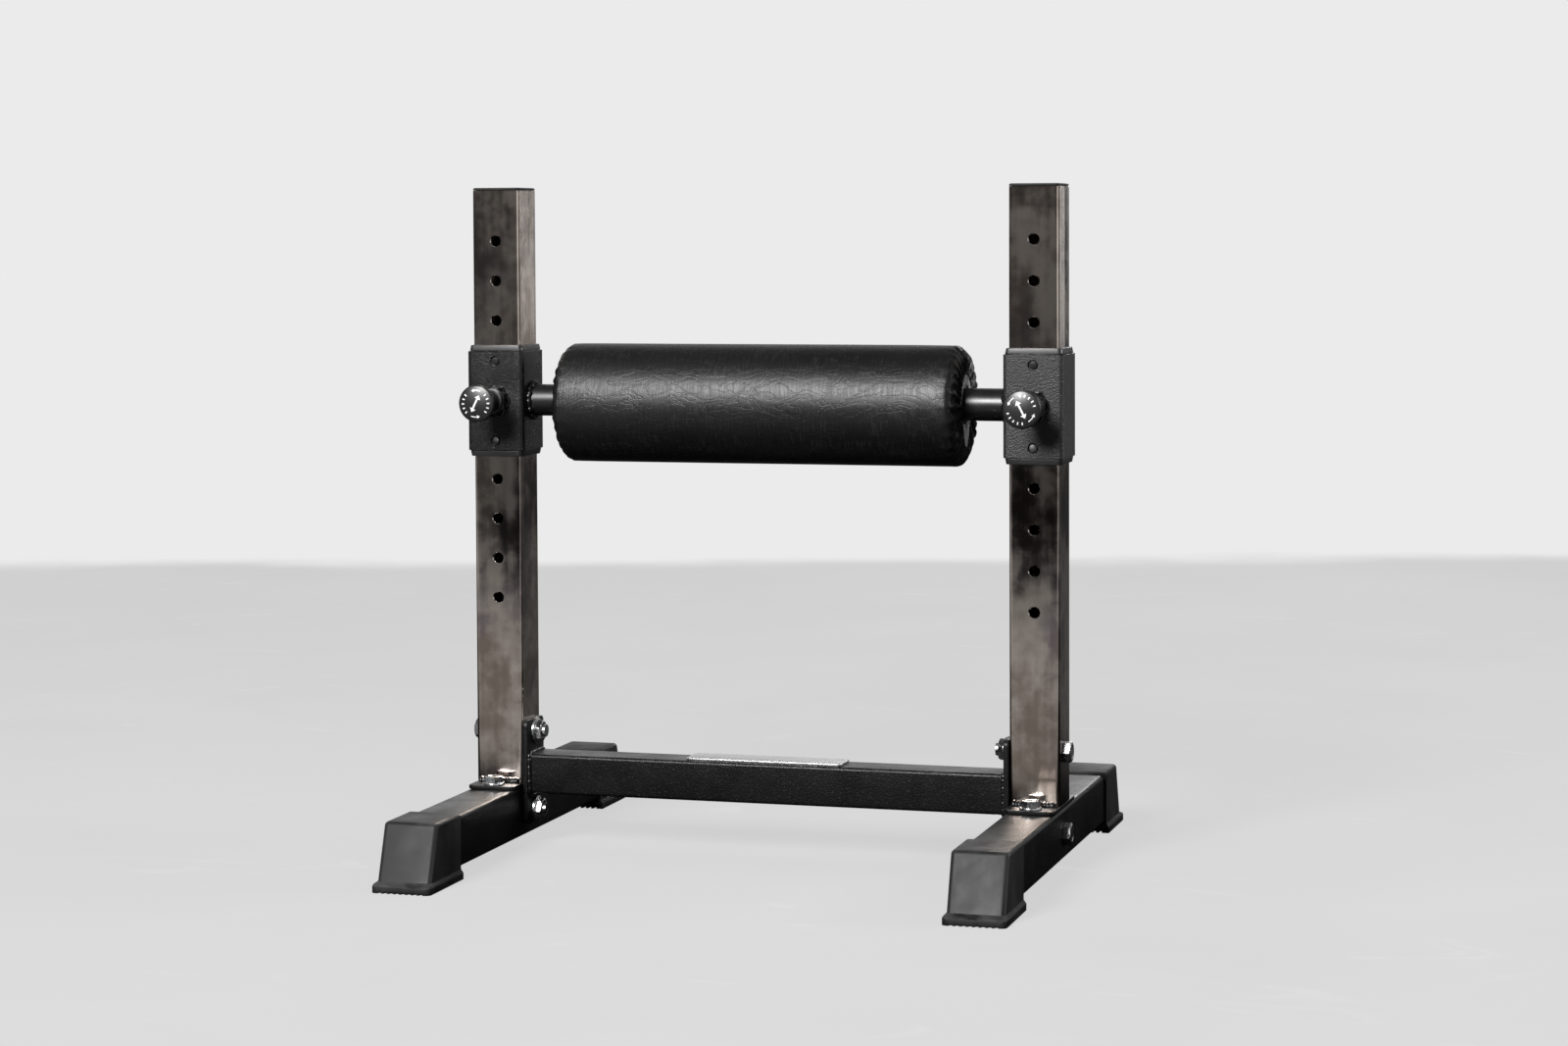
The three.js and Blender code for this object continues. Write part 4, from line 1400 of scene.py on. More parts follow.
@dataclass
class Feet:
    """Foot tubes, base plates and the rubber covers on the tubes' ends."""

    side: float = 0.050
    wall: float = 0.0025
    corner: float = 0.004
    length: float = 0.500
    bottom: float = 0.0105
    plate: Triple = (0.050, 0.103, 0.004)
    plate_bottom: float = 0.0608
    plate_corner: float = 0.006
    edge: float = 0.0006
    bolt_reach: float = 0.0422
    bolt_hole: float = 0.011
    drill: float = 0.008
    cross_hole: float = 0.013
    cross_at: tuple[float, float] = (-0.003, 0.0355)
    foot_length: float = 0.568
    cover_depth: float = 0.085
    cover_top: float = 0.0632
    cover_half: float = 0.0275
    skirt_half: float = 0.030
    skirt: float = 0.0063
    flare: float = 0.0035
    toe: float = 0.0085
    lean: float = 0.0185
    cover_corner: float = 0.005
    cover_rim: float = 0.0036
    treads: int = 8
    tread_pitch: float = 0.006
    tread: tuple[float, float] = (0.0034, 0.0016)
    notch: float = 0.0028
    web: float = 0.003
    over: float = 0.002

    def bolt_holes(self, piece: Piece, height: float) -> Piece:
        """Drills the two holes of the plate bolts through a wall at a height."""
        places = [(0, end.value * self.bolt_reach, height) for end in End]
        return bore(piece, self.bolt_hole, Axis.Z, places, self.drill)

    def tube(self) -> Piece:
        """Makes one foot tube about x = 0.

        Returns:
            The tube.
        """
        centre = (0, 0, self.bottom + self.side / 2)
        tube = square_tube(self.side, self.wall, self.corner, self.length, Axis.Y, centre)
        bore(tube, self.cross_hole, Axis.X, [(0, *self.cross_at)], self.side + 0.006)
        return self.bolt_holes(tube, self.bottom + self.side)

    def base_plate(self) -> Piece:
        """Makes one base plate about x = 0.

        Returns:
            The plate.
        """
        height = self.plate_bottom + self.plate[2] / 2
        plate = slab(self.plate, self.plate_corner, self.edge, (0, 0, height))
        return self.bolt_holes(plate, height)

    def cover(self) -> Piece:
        """Makes the rear cover about x = 0, its toe to +Y and its open back at y = 0.

        Returns:
            The cover.
        """
        flare_top = self.skirt + self.flare
        length = self.cover_depth - self.toe
        height, half = self.cover_top - flare_top, length / 2
        cover = block((2 * self.cover_half, length, height), (0, half, flare_top + height / 2))
        wider = (self.skirt_half / self.cover_half, 1, 1)
        high, low = flare_top + HAIRLINE, self.skirt + HAIRLINE
        with editing(cover):
            choose(cover, Kind.VERT, lambda vertex: vertex.co.z > high and vertex.co.y > half)
            bpy.ops.transform.translate(value=(0, -self.lean, 0))
            choose(cover, Kind.FACE, looks_down)
            pull(0, 0, -self.flare)
            bpy.ops.transform.resize(value=wider, center_override=(0, 0, 0))
            choose(cover, Kind.VERT, lambda vertex: vertex.co.z < low and vertex.co.y > half)
            bpy.ops.transform.translate(value=(0, self.toe, 0))
            choose(cover, Kind.FACE, looks_down)
            pull(0, 0, -self.skirt)
        wide, top = self.cover_half - HAIRLINE, self.cover_top - HAIRLINE

        def corner(edge: bmesh.types.BMEdge) -> bool:
            """Whether an edge climbs a corner of the toe."""
            at = middle(edge)
            return at.y > half and abs(at.x) > wide and not along(edge, Axis.Y)

        def rim(edge: bmesh.types.BMEdge) -> bool:
            """Whether an edge lies round the top, apart from the open back."""
            lowest = min(vertex.co.z for vertex in edge.verts)
            return lowest > top and middle(edge).y > HAIRLINE and len(edge.link_faces) == 2

        round_edges(cover, self.cover_corner, 6, corner)
        round_edges(cover, self.cover_rim, 5, rim)
        soften(cover, self.edge, 2, 24.0)
        carve(cover, self.pocket())
        return carve(cover, self.grooves())

    def pocket(self) -> Piece:
        """Makes the cutter for the tube's pocket.

        Returns:
            The cutter.
        """
        side = self.side + 2 * HAIRLINE
        depth = self.cover_depth - (self.foot_length - self.length) / 2 + HAIRLINE
        centre = (0, (depth - self.over) / 2, self.bottom + self.side / 2)
        pocket = block((side, depth + self.over, side), centre)
        round_edges(pocket, self.corner + HAIRLINE, 6, lambda edge: along(edge, Axis.Y))
        return pocket

    def grooves(self) -> Piece:
        """Makes the cutter for the grooves of the sole.

        Returns:
            The cutter.
        """
        width, deep = self.tread
        notch = self.cover_depth - self.notch
        runs = ((-self.over, notch - self.web), (notch, self.cover_depth + self.over))
        grooves = []
        for number in range(self.treads):
            x = (number - (self.treads - 1) / 2) * self.tread_pitch
            for start, stop in runs:
                grooves.append(block((width, stop - start, 2 * deep), (x, (start + stop) / 2, 0)))
        return merged(*grooves)

    def build(self) -> None:
        """Makes both feet."""
        tube, plate, cover = self.tube(), self.base_plate(), self.cover()
        back = self.foot_length / 2 - self.cover_depth
        for side in Side:
            x, label = side.value * SPACING, side.label
            fit(copied(tube, (x, 0, 0)), f"{label}_foot_tube", Body.FRAME, POWDER)
            fit(copied(plate, (x, 0, 0)), f"{label}_base_plate", Body.FRAME, POWDER)
            for end in End:
                turn = (0, 0, HALF_TURN if end is End.FRONT else 0.0)
                shoe = copied(cover, (x, end.value * back, 0), turn)
                fit(shoe, f"{label}_{end.label}_foot_cover", Body.FRAME, RUBBER)
        drop(tube, plate, cover)


@dataclass
class Crossbar:
    """The crossbar, its welded end plates and the bare badge plate."""

    side: float = 0.040
    wall: float = 0.002
    corner: float = 0.0033
    length: float = 0.4918
    forward: float = -0.003
    height: float = 0.074
    plate: Triple = (0.005, 0.048, 0.105)
    plate_x: float = 0.2487
    plate_z: float = 0.0755
    plate_corner: float = 0.006
    bolt_heights: tuple[float, float] = (0.0355, 0.1155)
    bolt_hole: float = 0.013
    drill: float = 0.010
    badge: Triple = (0.161, 0.034, 0.0018)
    badge_corner: float = 0.004
    badge_at: tuple[float, float] = (-0.001, 0.0943)
    weld: float = 0.0024

    def build(self) -> None:
        """Makes the bar, plates, welds and badge."""
        centre = (0, self.forward, self.height)
        bar = square_tube(self.side, self.wall, self.corner, self.length, Axis.X, centre)
        fit(bar, "crossbar_tube", Body.FRAME, POWDER)
        centre = (0, self.forward, self.plate_z)
        plate = slab(self.plate, self.plate_corner, 0.0006, centre, Axis.X)
        places = [(0, self.forward, height) for height in self.bolt_heights]
        bore(plate, self.bolt_hole, Axis.X, places, self.drill)
        centre = (self.length / 2 - 0.0004, self.forward, self.height)
        path = square_path(self.side + 0.0008, self.corner, 0.0011, centre)
        line = bead(path, self.weld, True, 0.0036, 0.0003)
        for side in Side:
            name = f"{side.label}_crossbar"
            shown = copied(plate, (side.value * self.plate_x, 0, 0))
            fit(shown, f"{name}_plate", Body.FRAME, POWDER)
            seam = copied(line, flip=side is Side.LEFT)
            fit(seam, f"{name}_weld", Body.FRAME, WELD, 60.0, solid=False)
        drop(plate, line)
        y, bottom = self.badge_at
        centre = (0, y, bottom + self.badge[2] / 2)
        badge = slab(self.badge, self.badge_corner, 0.0003, centre)
        fit(badge, "badge_plate", Body.FRAME, BADGE)


@dataclass(frozen=True)
class BoltSize:
    """A bolt with its nut and washer."""

    thread: float
    flats: float
    head: float
    nut: float
    washer: float
    washer_thickness: float


@dataclass
class Fasteners:
    """Bolts, washers and acorn nuts, all modelled upright and then turned to their seats."""

    face: float = 0.025
    plate_bolt: BoltSize = BoltSize(0.010, 0.017, 0.0064, 0.008, 0.022, 0.002)
    bar_bolt: BoltSize = BoltSize(0.012, 0.019, 0.0075, 0.006, 0.026, 0.0025)
    plate_reach: float = 0.0422
    plate_top: float = 0.0648
    plate_shank: float = 0.0202
    bar_y: float = -0.003
    bar_heights: tuple[tuple[str, float], ...] = (("upper", 0.1155), ("lower", 0.0355))
    bar_thread: float = 0.0087
    end_plate: float = 0.005
    dome: float = 0.0078
    point: float = 0.0006

    def bolt(self, size: BoltSize, shank: float) -> Piece:
        """Makes a hexagon bolt with its seat at zero.

        Args:
            size: the bolt's sizes.
            shank: how far the shank reaches below the seat.

        Returns:
            The bolt.
        """
        head = hexagon(size.flats, size.head)
        top = size.head - HAIRLINE
        with editing(head):
            choose(head, Kind.FACE, lambda face: face.normal.z > 0.99 and middle(face).z > top)
            bpy.ops.mesh.inset(thickness=size.flats * 0.1)
            bpy.ops.mesh.inset(thickness=size.flats * 0.05, depth=-0.00035)
        radius, start = size.thread / 2, size.head / 2
        tip = [(radius, self.point - shank), (radius - self.point, -shank), (0, -shank)]
        stem = turned([(0, start), (radius, start), *tip], Axis.Z, 40)
        return carve(head, stem, "UNION")

    def washer(self, size: BoltSize) -> Piece:
        """Makes a washer that rests on zero, stamped with a soft upper edge.

        Args:
            size: the sizes of its bolt.

        Returns:
            The washer.
        """
        outer, inner = size.washer / 2, size.thread / 2 + 0.0005
        high, edge = size.washer_thickness, 0.0004
        profile = [
            (inner, 0), (outer - edge / 2, 0), (outer, edge / 2), (outer, high - edge),
            (outer - edge / 3, high - edge / 3), (outer - edge, high),
            (inner + edge / 2, high), (inner, high - edge / 2), (inner, 0),
        ]
        return turned(profile, Axis.Z, 56)

    def acorn(self, size: BoltSize) -> Piece:
        """Makes a domed cap nut that rests on zero.

        Args:
            size: the sizes of its bolt.

        Returns:
            The nut.
        """
        nut = hexagon(size.flats, size.nut, both=True)
        quarter = [QUARTER_TURN * number / 10 for number in range(10)]
        foot, dome = size.nut / 2, self.dome
        arc = [(dome * math.cos(turn), size.nut + dome * math.sin(turn)) for turn in quarter]
        profile = [(0, foot), (dome, foot), *arc, (0.0, size.nut + dome)]
        carve(nut, turned(profile, Axis.Z, 48), "UNION")
        return bore(nut, size.thread + 2 * HAIRLINE, Axis.Z, [(0, 0, 0.0035)], 0.011)

    def build(self) -> None:
        """Sets the fasteners of the base plates and of the crossbar."""
        self.plate_set()
        self.bar_set()

    def plate_set(self) -> None:
        """Sets the bolts and washers of the base plates."""
        size = self.plate_bolt
        bolt, washer = self.bolt(size, self.plate_shank), self.washer(size)
        seat = self.plate_top + HAIRLINE
        head_seat = seat + size.washer_thickness + HAIRLINE
        picker = random.Random(SEED)
        for side, end in product(Side, End):
            x, y = side.value * SPACING, end.value * self.plate_reach
            name = f"{side.label}_{end.label}_plate"
            head = copied(bolt, (x, y, head_seat), (0, 0, picker.uniform(0, HALF_TURN / 3)))
            fit(head, f"{name}_bolt", Body.FRAME, ZINC, 20.0)
            fit(copied(washer, (x, y, seat)), f"{name}_washer", Body.FRAME, ZINC)
            paint(f"{name}_weld_nut", ZINC)
        drop(bolt, washer)

    def bar_set(self) -> None:
        """Sets the bolts, washers and acorn nuts of the crossbar."""
        size = self.bar_bolt
        washer_seat = SPACING - self.face - 2 * HAIRLINE - self.end_plate
        nut_seat = washer_seat - size.washer_thickness - HAIRLINE
        head_seat = SPACING + self.face + HAIRLINE
        bolt = self.bolt(size, head_seat - nut_seat + self.bar_thread)
        washer, nut = self.washer(size), self.acorn(size)
        rows = (
            ("bolt", bolt, head_seat, 1, 20.0),
            ("washer", washer, washer_seat, -1, 32.0),
            ("acorn_nut", nut, nut_seat, -1, 20.0),
        )
        picker = random.Random(SEED + 1)
        for side, (level, height) in product(Side, self.bar_heights):
            for what, shape, seat, outward, crease in rows:
                turn = 0 if shape is washer else picker.uniform(0, HALF_TURN / 3)
                spun = copied(shape, turn=(0, 0, turn))
                at = (side.value * seat, self.bar_y, height)
                piece = copied(spun, at, (0, outward * side.value * QUARTER_TURN, 0))
                fit(piece, f"{side.label}_{level}_crossbar_{what}", Body.FRAME, ZINC, crease)
                drop(spun)
        drop(bolt, washer, nut)


# Carriage


@dataclass
class Sleeves:
    """The two sleeves, their pegged bushings and the shaft welded between them."""

    side: float = 0.060
    wall: float = 0.0025
    corner: float = 0.005
    length: float = 0.100
    drill: float = 0.006
    peg_hole: float = 0.010
    peg: float = 0.008
    peg_reach: float = 0.040
    peg_end: float = -0.0262
    peg_tilt: float = -7.0
    pin_hole: float = 0.009
    collar_side: float = 0.057
    collar: float = 0.0057
    collar_bore: float = 0.0508
    collar_corner: float = 0.0044
    edge: float = 0.0006
    draft: float = 0.0009
    insert_side: float = 0.0544
    insert: float = 0.026
    shaft: float = 0.032
    shaft_wall: float = 0.0025
    shaft_length: float = 0.4924
    weld: float = 0.0031

    def sleeve(self) -> Piece:
        """Makes one sleeve about x = 0.

        Returns:
            The sleeve.
        """
        centre = (0, 0, PIN_HEIGHT)
        tube = square_tube(self.side, self.wall, self.corner, self.length, Axis.Z, centre)
        y = self.drill / 2 - self.side / 2
        pegs = [(0, y, PIN_HEIGHT + sign * self.peg_reach) for sign in (-1, 1)]
        bore(tube, self.peg_hole, Axis.Y, pegs, self.drill, HAIRLINE)
        return bore(tube, self.pin_hole, Axis.Y, [(0, y, PIN_HEIGHT)], self.drill)

    def bushing(self) -> Piece:
        """Makes the upper bushing about x = 0, with zero at the sleeve's end.

        Returns:
            The bushing.
        """
        corner, gap = self.collar_corner, self.collar_bore
        wall = (self.collar_side - gap) / 2
        centre = (0, 0, HAIRLINE + self.collar / 2)
        collar = square_tube(self.collar_side, wall, corner, self.collar, Axis.Z, centre)
        top, out = HAIRLINE + self.collar - self.edge, gap / 2 + HAIRLINE
        narrower = 1 - 2 * self.draft / self.collar_side

        def outer(vertex: bmesh.types.BMVert) -> bool:
            """Whether a point lies on the collar's outer upper edge."""
            return max(abs(vertex.co.x), abs(vertex.co.y)) > out and vertex.co.z > top

        with editing(collar):
            choose(collar, Kind.VERT, outer)
            smaller = (narrower, narrower, 1)
            bpy.ops.transform.resize(value=smaller, center_override=(0, 0, 0))
        soften(collar, self.edge, 2, 50.0)
        wall = (self.insert_side - gap) / 2
        low = (0, 0, -self.insert / 2)
        insert = square_tube(self.insert_side, wall, corner, self.insert, Axis.Z, low)
        return merged(collar, insert, self.pegged())

    def pegged(self) -> Piece:
        """Makes the bushing's peg, whose face leans.

        Returns:
            The peg.
        """
        radius, face, end = self.peg / 2, HAIRLINE - self.side / 2, self.peg_end
        height = self.peg_reach - self.length / 2
        crown = [(0, face), (radius * 0.6, face + 0.0001), (radius - 0.0003, face + 0.0004)]
        stem = [(radius, face + 0.001), (radius, end), (0, end)]
        peg = turned(crown + stem, Axis.Y, 32, (0, 0, height))
        with editing(peg):
            choose(peg, Kind.VERT, lambda vertex: vertex.co.y < face + 0.0012)
            pivot = {"orient_axis": "X", "center_override": (0, face, height)}
            bpy.ops.transform.rotate(value=math.radians(self.peg_tilt), **pivot)
        return peg

    def rod(self) -> Piece:
        """Makes the hollow shaft.

        Returns:
            The shaft.
        """
        outer, inner = self.shaft / 2, self.shaft / 2 - self.shaft_wall
        end = self.shaft_length / 2
        profile = [(inner, -end), (outer, -end), (outer, end), (inner, end), (inner, -end)]
        return turned(profile, Axis.X, 96, (0, 0, PIN_HEIGHT))

    def build(self) -> None:
        """Makes sleeves, bushings, shaft and welds."""
        sleeve, bushing = self.sleeve(), self.bushing()
        for side in Side:
            x, label = side.value * SPACING, side.label
            # The left sleeve takes the darker copy of the coat; its darker colour is painted
            # shade.
            coat = SHADED_SLEEVE_POWDER if side is Side.LEFT else SLEEVE_POWDER
            fit(copied(sleeve, (x, 0, 0)), f"{label}_sleeve", Body.CARRIAGE, coat)
            for level, sign, turn in (("upper", 1, 0), ("lower", -1, HALF_TURN)):
                at = (x, 0, PIN_HEIGHT + sign * self.length / 2)
                name = f"{label}_{level}_bushing"
                fit(copied(bushing, at, (0, turn, 0)), name, Body.CARRIAGE, PLASTIC)
        fit(self.rod(), "roller_shaft", Body.CARRIAGE, GLOSS)
        centre = (self.shaft_length / 2 - 0.0006, 0, PIN_HEIGHT)
        path = ring_path(self.shaft / 2 + 0.0006, 0.0011, centre)
        line = bead(path, self.weld, True, 0.0042, 0.0009)
        for side in Side:
            seam = copied(line, flip=side is Side.LEFT)
            fit(seam, f"{side.label}_shaft_weld", Body.CARRIAGE, WELD, 60.0, solid=False)
        drop(sleeve, bushing, line)


@dataclass
class PullPins:
    """Each pull pin: weld nut, barrel, sprung plunger and knob, turned about Y."""

    face: float = -0.030
    nut_flats: float = 0.027
    nut_length: float = 0.0107
    thread: float = 0.0166
    ring: float = 0.026
    ring_length: float = 0.0035
    barrel: float = 0.018
    barrel_length: float = 0.012
    barrel_bore: float = 0.0144
    barrel_wall: float = 0.0025
    lip: float = 0.001
    pin: float = 0.0084
    pin_collar: float = 0.0136
    collar_length: float = 0.0015
    stem: float = 0.007
    tip: float = 0.004
    travel: float = 0.014
    knob: float = 0.037
    hub: float = 0.018
    hub_length: float = 0.0024
    flare: float = 0.003
    rim: float = 0.0044
    dome: float = 0.003
    socket: float = 0.006

    @property
    def ring_back(self) -> float:
        """Where the barrel's ring meets the nut."""
        return -(HAIRLINE + self.nut_length) - HAIRLINE

    @property
    def barrel_end(self) -> float:
        """Where the barrel ends."""
        return self.ring_back - self.ring_length - self.barrel_length

    @property
    def knob_back(self) -> float:
        """Where the knob begins, a pin's travel off the barrel."""
        return self.barrel_end - 2 * HAIRLINE - self.travel

    def nut(self) -> Piece:
        """Makes the hexagon nut that is welded to the sleeve.

        Returns:
            The nut.
        """
        nut = hexagon(self.nut_flats, self.nut_length, both=True)
        places = [(0, 0, self.nut_length / 2)]
        bore(nut, self.thread + 2 * HAIRLINE, Axis.Z, places, self.nut_length + 0.004)
        return settle(nut, (0, -HAIRLINE, 0), (QUARTER_TURN, 0, 0))

    def nut_weld(self) -> Piece:
        """Makes the bead round the nut's foot.

        Returns:
            The bead.
        """
        reach, steps = self.nut_flats / math.sqrt(3), 12
        turns = [HALF_TURN * number / 3 for number in range(7)]
        corners = [(reach * math.cos(turn), reach * math.sin(turn)) for turn in turns]
        points: list[Triple] = []
        for (x, z), (next_x, next_z) in zip(corners, corners[1:]):
            for share in (number / steps for number in range(steps)):
                points.append((x + (next_x - x) * share, -0.0007, z + (next_z - z) * share))
        return bead(points, 0.0016, True, 0.0034, 0.0003)

    def screw(self) -> Piece:
        """Makes the screwed-in barrel with its ring.

        Returns:
            The barrel.
        """
        ring, tube, edge, end = self.ring / 2, self.barrel / 2, 0.0008, self.barrel_end
        back, front = self.ring_back, self.ring_back - self.ring_length
        stem, guide = self.stem / 2 + HAIRLINE, self.pin / 2 + HAIRLINE
        thread, inner, inside = self.thread / 2, self.barrel_bore / 2, end + self.barrel_wall
        foot = -2 * HAIRLINE
        profile = [
            (stem, end), (tube - 1.6 * edge, end), (tube - edge / 2, end + edge / 3),
            (tube, end + edge), (tube, front + edge), (tube + edge / 2, front + edge / 5),
            (tube + edge, front), (ring - edge, front), (ring - edge / 4, front + edge / 4),
            (ring, front + edge), (ring, back - edge / 2), (ring - edge / 2, back),
            (thread, back), (thread, foot), (guide, foot), (guide, foot - self.lip),
            (inner, foot - self.lip), (inner, inside), (stem, inside), (stem, end),
        ]
        return turned(profile, Axis.Y, 64)

    def plunger(self) -> Piece:
        """Makes the stepped plunger pin.

        Returns:
            The pin.
        """
        pin, collar, stem, edge = self.pin / 2, self.pin_collar / 2, self.stem / 2, 0.0003
        back = -2 * HAIRLINE - self.lip - 2 * HAIRLINE - self.travel
        front, start = back - self.collar_length, self.knob_back - self.socket + HAIRLINE
        profile = [
            (0, start), (stem, start), (stem, front), (collar - edge, front),
            (collar, front + edge), (collar, back - edge), (collar - edge, back), (pin, back),
            (pin, self.tip - 0.001), (pin - 0.0003, self.tip - 0.0004),
            (pin - 0.001, self.tip), (0, self.tip),
        ]
        return turned(profile, Axis.Y, 48)

    def grip(self) -> Piece:
        """Makes the knob with its flared back and domed face.

        Returns:
            The knob.
        """
        hub, rim, back = self.hub / 2, self.knob / 2, self.knob_back
        socket = self.stem / 2 + HAIRLINE
        flare = back - self.hub_length
        rim_back = flare - self.flare
        front = rim_back - self.rim
        face = front - self.dome
        ball = (rim * rim + self.dome * self.dome) / (2 * self.dome)
        radii = [rim * 0.955 * number / 12 for number in range(13)]
        domed = [(out, face + ball - math.sqrt(ball * ball - out * out)) for out in radii]
        waist, edge = (rim + hub) / 2, 0.0009
        profile = domed + [
            (rim - edge / 3, front + edge / 4), (rim, front + edge), (rim, rim_back - edge),
            (rim - edge / 3, rim_back - edge / 4), (rim - edge, rim_back + edge / 5),
            (waist + 0.002, rim_back + self.flare * 0.32),
            (waist - 0.002, rim_back + self.flare * 0.72),
            (hub + 0.0006, flare), (hub, flare + 0.0008), (hub, back - 0.0004),
            (hub - 0.0004, back), (socket, back), (socket, back - self.socket),
            (0, back - self.socket),
        ]
        return turned(profile, Axis.Y, 96)

    def build(self) -> None:
        """Sets a pull pin on each sleeve."""
        shapes = (self.nut(), self.nut_weld(), self.screw(), self.plunger(), self.grip())
        for side in Side:
            at, label = (side.value * SPACING, self.face, PIN_HEIGHT), side.label
            rows = (
                ("pin_weld_nut", Body.CARRIAGE, WELD),
                ("pin_weld", Body.CARRIAGE, WELD),
                ("pin_barrel", Body.CARRIAGE, GLOSS),
                ("plunger_pin", Body(f"{label}_pin"), ZINC),
                ("knob", Body(f"{label}_pin_knob"), KNOB),
            )
            for shape, (what, body, finish) in zip(shapes, rows):
                piece = copied(shape, at)
                fit(piece, f"{label}_{what}", body, finish, solid=what != "pin_weld")
            paint(f"{label}_pin_spring", SPRING)
        drop(*shapes)


@dataclass
class Roller:
    """The padded roller: core tube, foam and a sewn cover gathered in at both ends."""

    centre_x: float = -0.002
    centre_z: float = 0.4501
    radius: float = 0.060
    length: float = 0.415
    round_along: float = 0.012
    round_across: float = 0.022
    mouth: float = 0.0209
    skin: float = 0.0016
    core_bore: float = 0.0181
    core_radius: float = 0.0206
    core_setback: float = 0.003
    around: int = 180
    rows: int = 96
    end_rows: int = 11
    bend_rows: int = 12
    swell: float = 0.0014
    cap: float = 0.0022
    pressure: float = 4.0
    pleats: int = 15
    pleat_depth: float = 0.0045
    pleat_reach: float = 0.016
    left_share: float = 0.55
    slit_reach: float = 0.050
    slit_top: float = 0.0305
    slit_bottom: float = 0.040
    frames: int = 20

    @property
    def centre(self) -> Triple:
        """The roller's middle."""
        return (self.centre_x, 0, self.centre_z)

    def cover_profile(self) -> list[tuple[float, float]]:
        """Lists radius and place of the cover's outside from mouth to mouth.

        Returns:
            The pairs.
        """
        end = self.length / 2 - self.swell / 2
        outer = self.radius - self.swell
        start = outer - self.round_across
        steps = [number / self.end_rows for number in range(self.end_rows)]
        side = [(self.mouth + (start - self.mouth) * step, end) for step in steps]
        for number in range(self.bend_rows):
            angle = QUARTER_TURN * (1 - number / self.bend_rows)
            across = start + self.round_across * math.cos(angle)
            side.append((across, end - self.round_along + self.round_along * math.sin(angle)))
        half = end - self.round_along
        body = [(outer, half * (1 - 2 * number / self.rows)) for number in range(self.rows + 1)]
        return side + body + [(across, -place) for across, place in reversed(side)]

    def inflate(self, cover: Piece) -> None:
        """Presses the skin outwards as cloth and keeps each point's move small.

        Args:
            cover: the cover's skin.
        """
        shape = (len(cover.data.vertices), 3)
        before, after = np.empty(shape), np.empty(shape)
        cover.data.vertices.foreach_get("co", before.ravel())
        near = self.mouth + 0.0005
        hem = [vertex.index for vertex in cover.data.vertices if self.reach(vertex.co) < near]
        group = cover.vertex_groups.new(name="hem")
        group.add(hem, 1.0, "REPLACE")
        pick(cover)
        bpy.ops.object.modifier_add(type="CLOTH")
        cloth = cover.modifiers[-1]
        settings = cloth.settings
        settings.vertex_group_mass = group.name
        settings.use_pressure = True
        settings.uniform_pressure_force = self.pressure
        settings.effector_weights.gravity = 0.0
        settings.shrink_min = -0.012
        settings.tension_stiffness = 30.0
        settings.bending_stiffness = 2.0
        cloth.collision_settings.use_collision = False
        cloth.point_cache.frame_start = 1
        cloth.point_cache.frame_end = self.frames
        for number in range(1, self.frames + 1):
            bpy.context.scene.frame_set(number)
        pick(cover)
        bpy.ops.object.modifier_apply(modifier=cloth.name)
        bpy.context.scene.frame_set(1)
        cover.data.vertices.foreach_get("co", after.ravel())
        move = after - before
        size = np.linalg.norm(move, axis=1, keepdims=True)
        move *= np.minimum(1.0, self.cap / np.maximum(size, 1e-9))
        cover.data.vertices.foreach_set("co", (before + move).ravel())
        cover.vertex_groups.clear()
        mean, most = 1000 * size.mean(), 1000 * size.max()
        LOG.info("cover moved %.2f mm on average, %.2f mm at most", mean, most)

    def reach(self, point: Vector) -> float:
        """A point's distance from the roller's axis."""
        return math.hypot(point.y, point.z - self.centre_z)

    def angle(self, point: Vector) -> float:
        """A point's angle round the roller's axis, 0 being +Y and a quarter turn up."""
        return math.atan2(point.z - self.centre_z, point.y)

    def widen(self, point: Vector, share: float) -> None:
        """Moves a point away from the roller's axis to a share of its distance."""
        point.y *= share
        point.z = self.centre_z + (point.z - self.centre_z) * share

    def slit(self, angle: float) -> float:
        """How far the right mouth reaches at an angle.

        Args:
            angle: the angle round the axis.

        Returns:
            The reach.
        """
        up = math.sin(angle)
        tall, narrow = (self.slit_top, 2.4) if up > 0 else (self.slit_bottom, 14.0)
        return self.mouth + 0.0012 + (tall - self.mouth) * abs(up) ** narrow

    def gather(self, cover: Piece) -> None:
        """Pleats both ends and draws the right mouth out into an upright slit.

        Args:
            cover: the cover's skin.
        """
        picker = random.Random(SEED)
        phases = [picker.uniform(0, 2 * HALF_TURN) for _ in range(4)]
        for vertex in cover.data.vertices:
            point = vertex.co
            reach, angle = self.reach(point), self.angle(point)
            side = 1 if point.x > self.centre_x else -1
            depth = self.length / 2 - abs(point.x - self.centre_x)
            near_end = max(0.0, 1.0 - depth / self.pleat_reach)
            if near_end <= 0.0:
                continue
            phase = phases[0] if side > 0 else phases[1]
            wander = 0.9 * math.sin(2 * angle + phase) + 0.6 * math.sin(3 * angle + phases[2])
            fold = 1.0 - 2.0 * abs(math.sin(self.pleats * angle + wander)) ** 0.7
            inner = max(0.0, min(1.0, (self.radius - reach) / 0.022))
            lump = math.sin(5 * angle + phases[3]) * 0.5 + math.sin(9 * angle + phase) * 0.3
            hem = 1.0 - 0.8 * max(0.0, min(1.0, (0.031 - reach) / 0.009))
            deep = self.pleat_depth * (hem if side > 0 else self.left_share)
            point.x += side * (near_end * inner * (deep * (fold - 1.0) * 0.5 + 0.0007 * lump))
            if side > 0 and reach < self.slit_reach:
                mouth = self.slit(angle) + 0.0008 * fold
                share = (reach - self.mouth) / (self.slit_reach - self.mouth)
                wanted = mouth + (self.slit_reach - mouth) * max(0.0, share)
                self.widen(point, wanted / max(reach, 1e-6))
            else:
                squeeze = near_end * 0.0008 * (fold - 0.4)
                self.widen(point, 1.0 + squeeze / max(reach, 1e-6))
        cover.data.update()

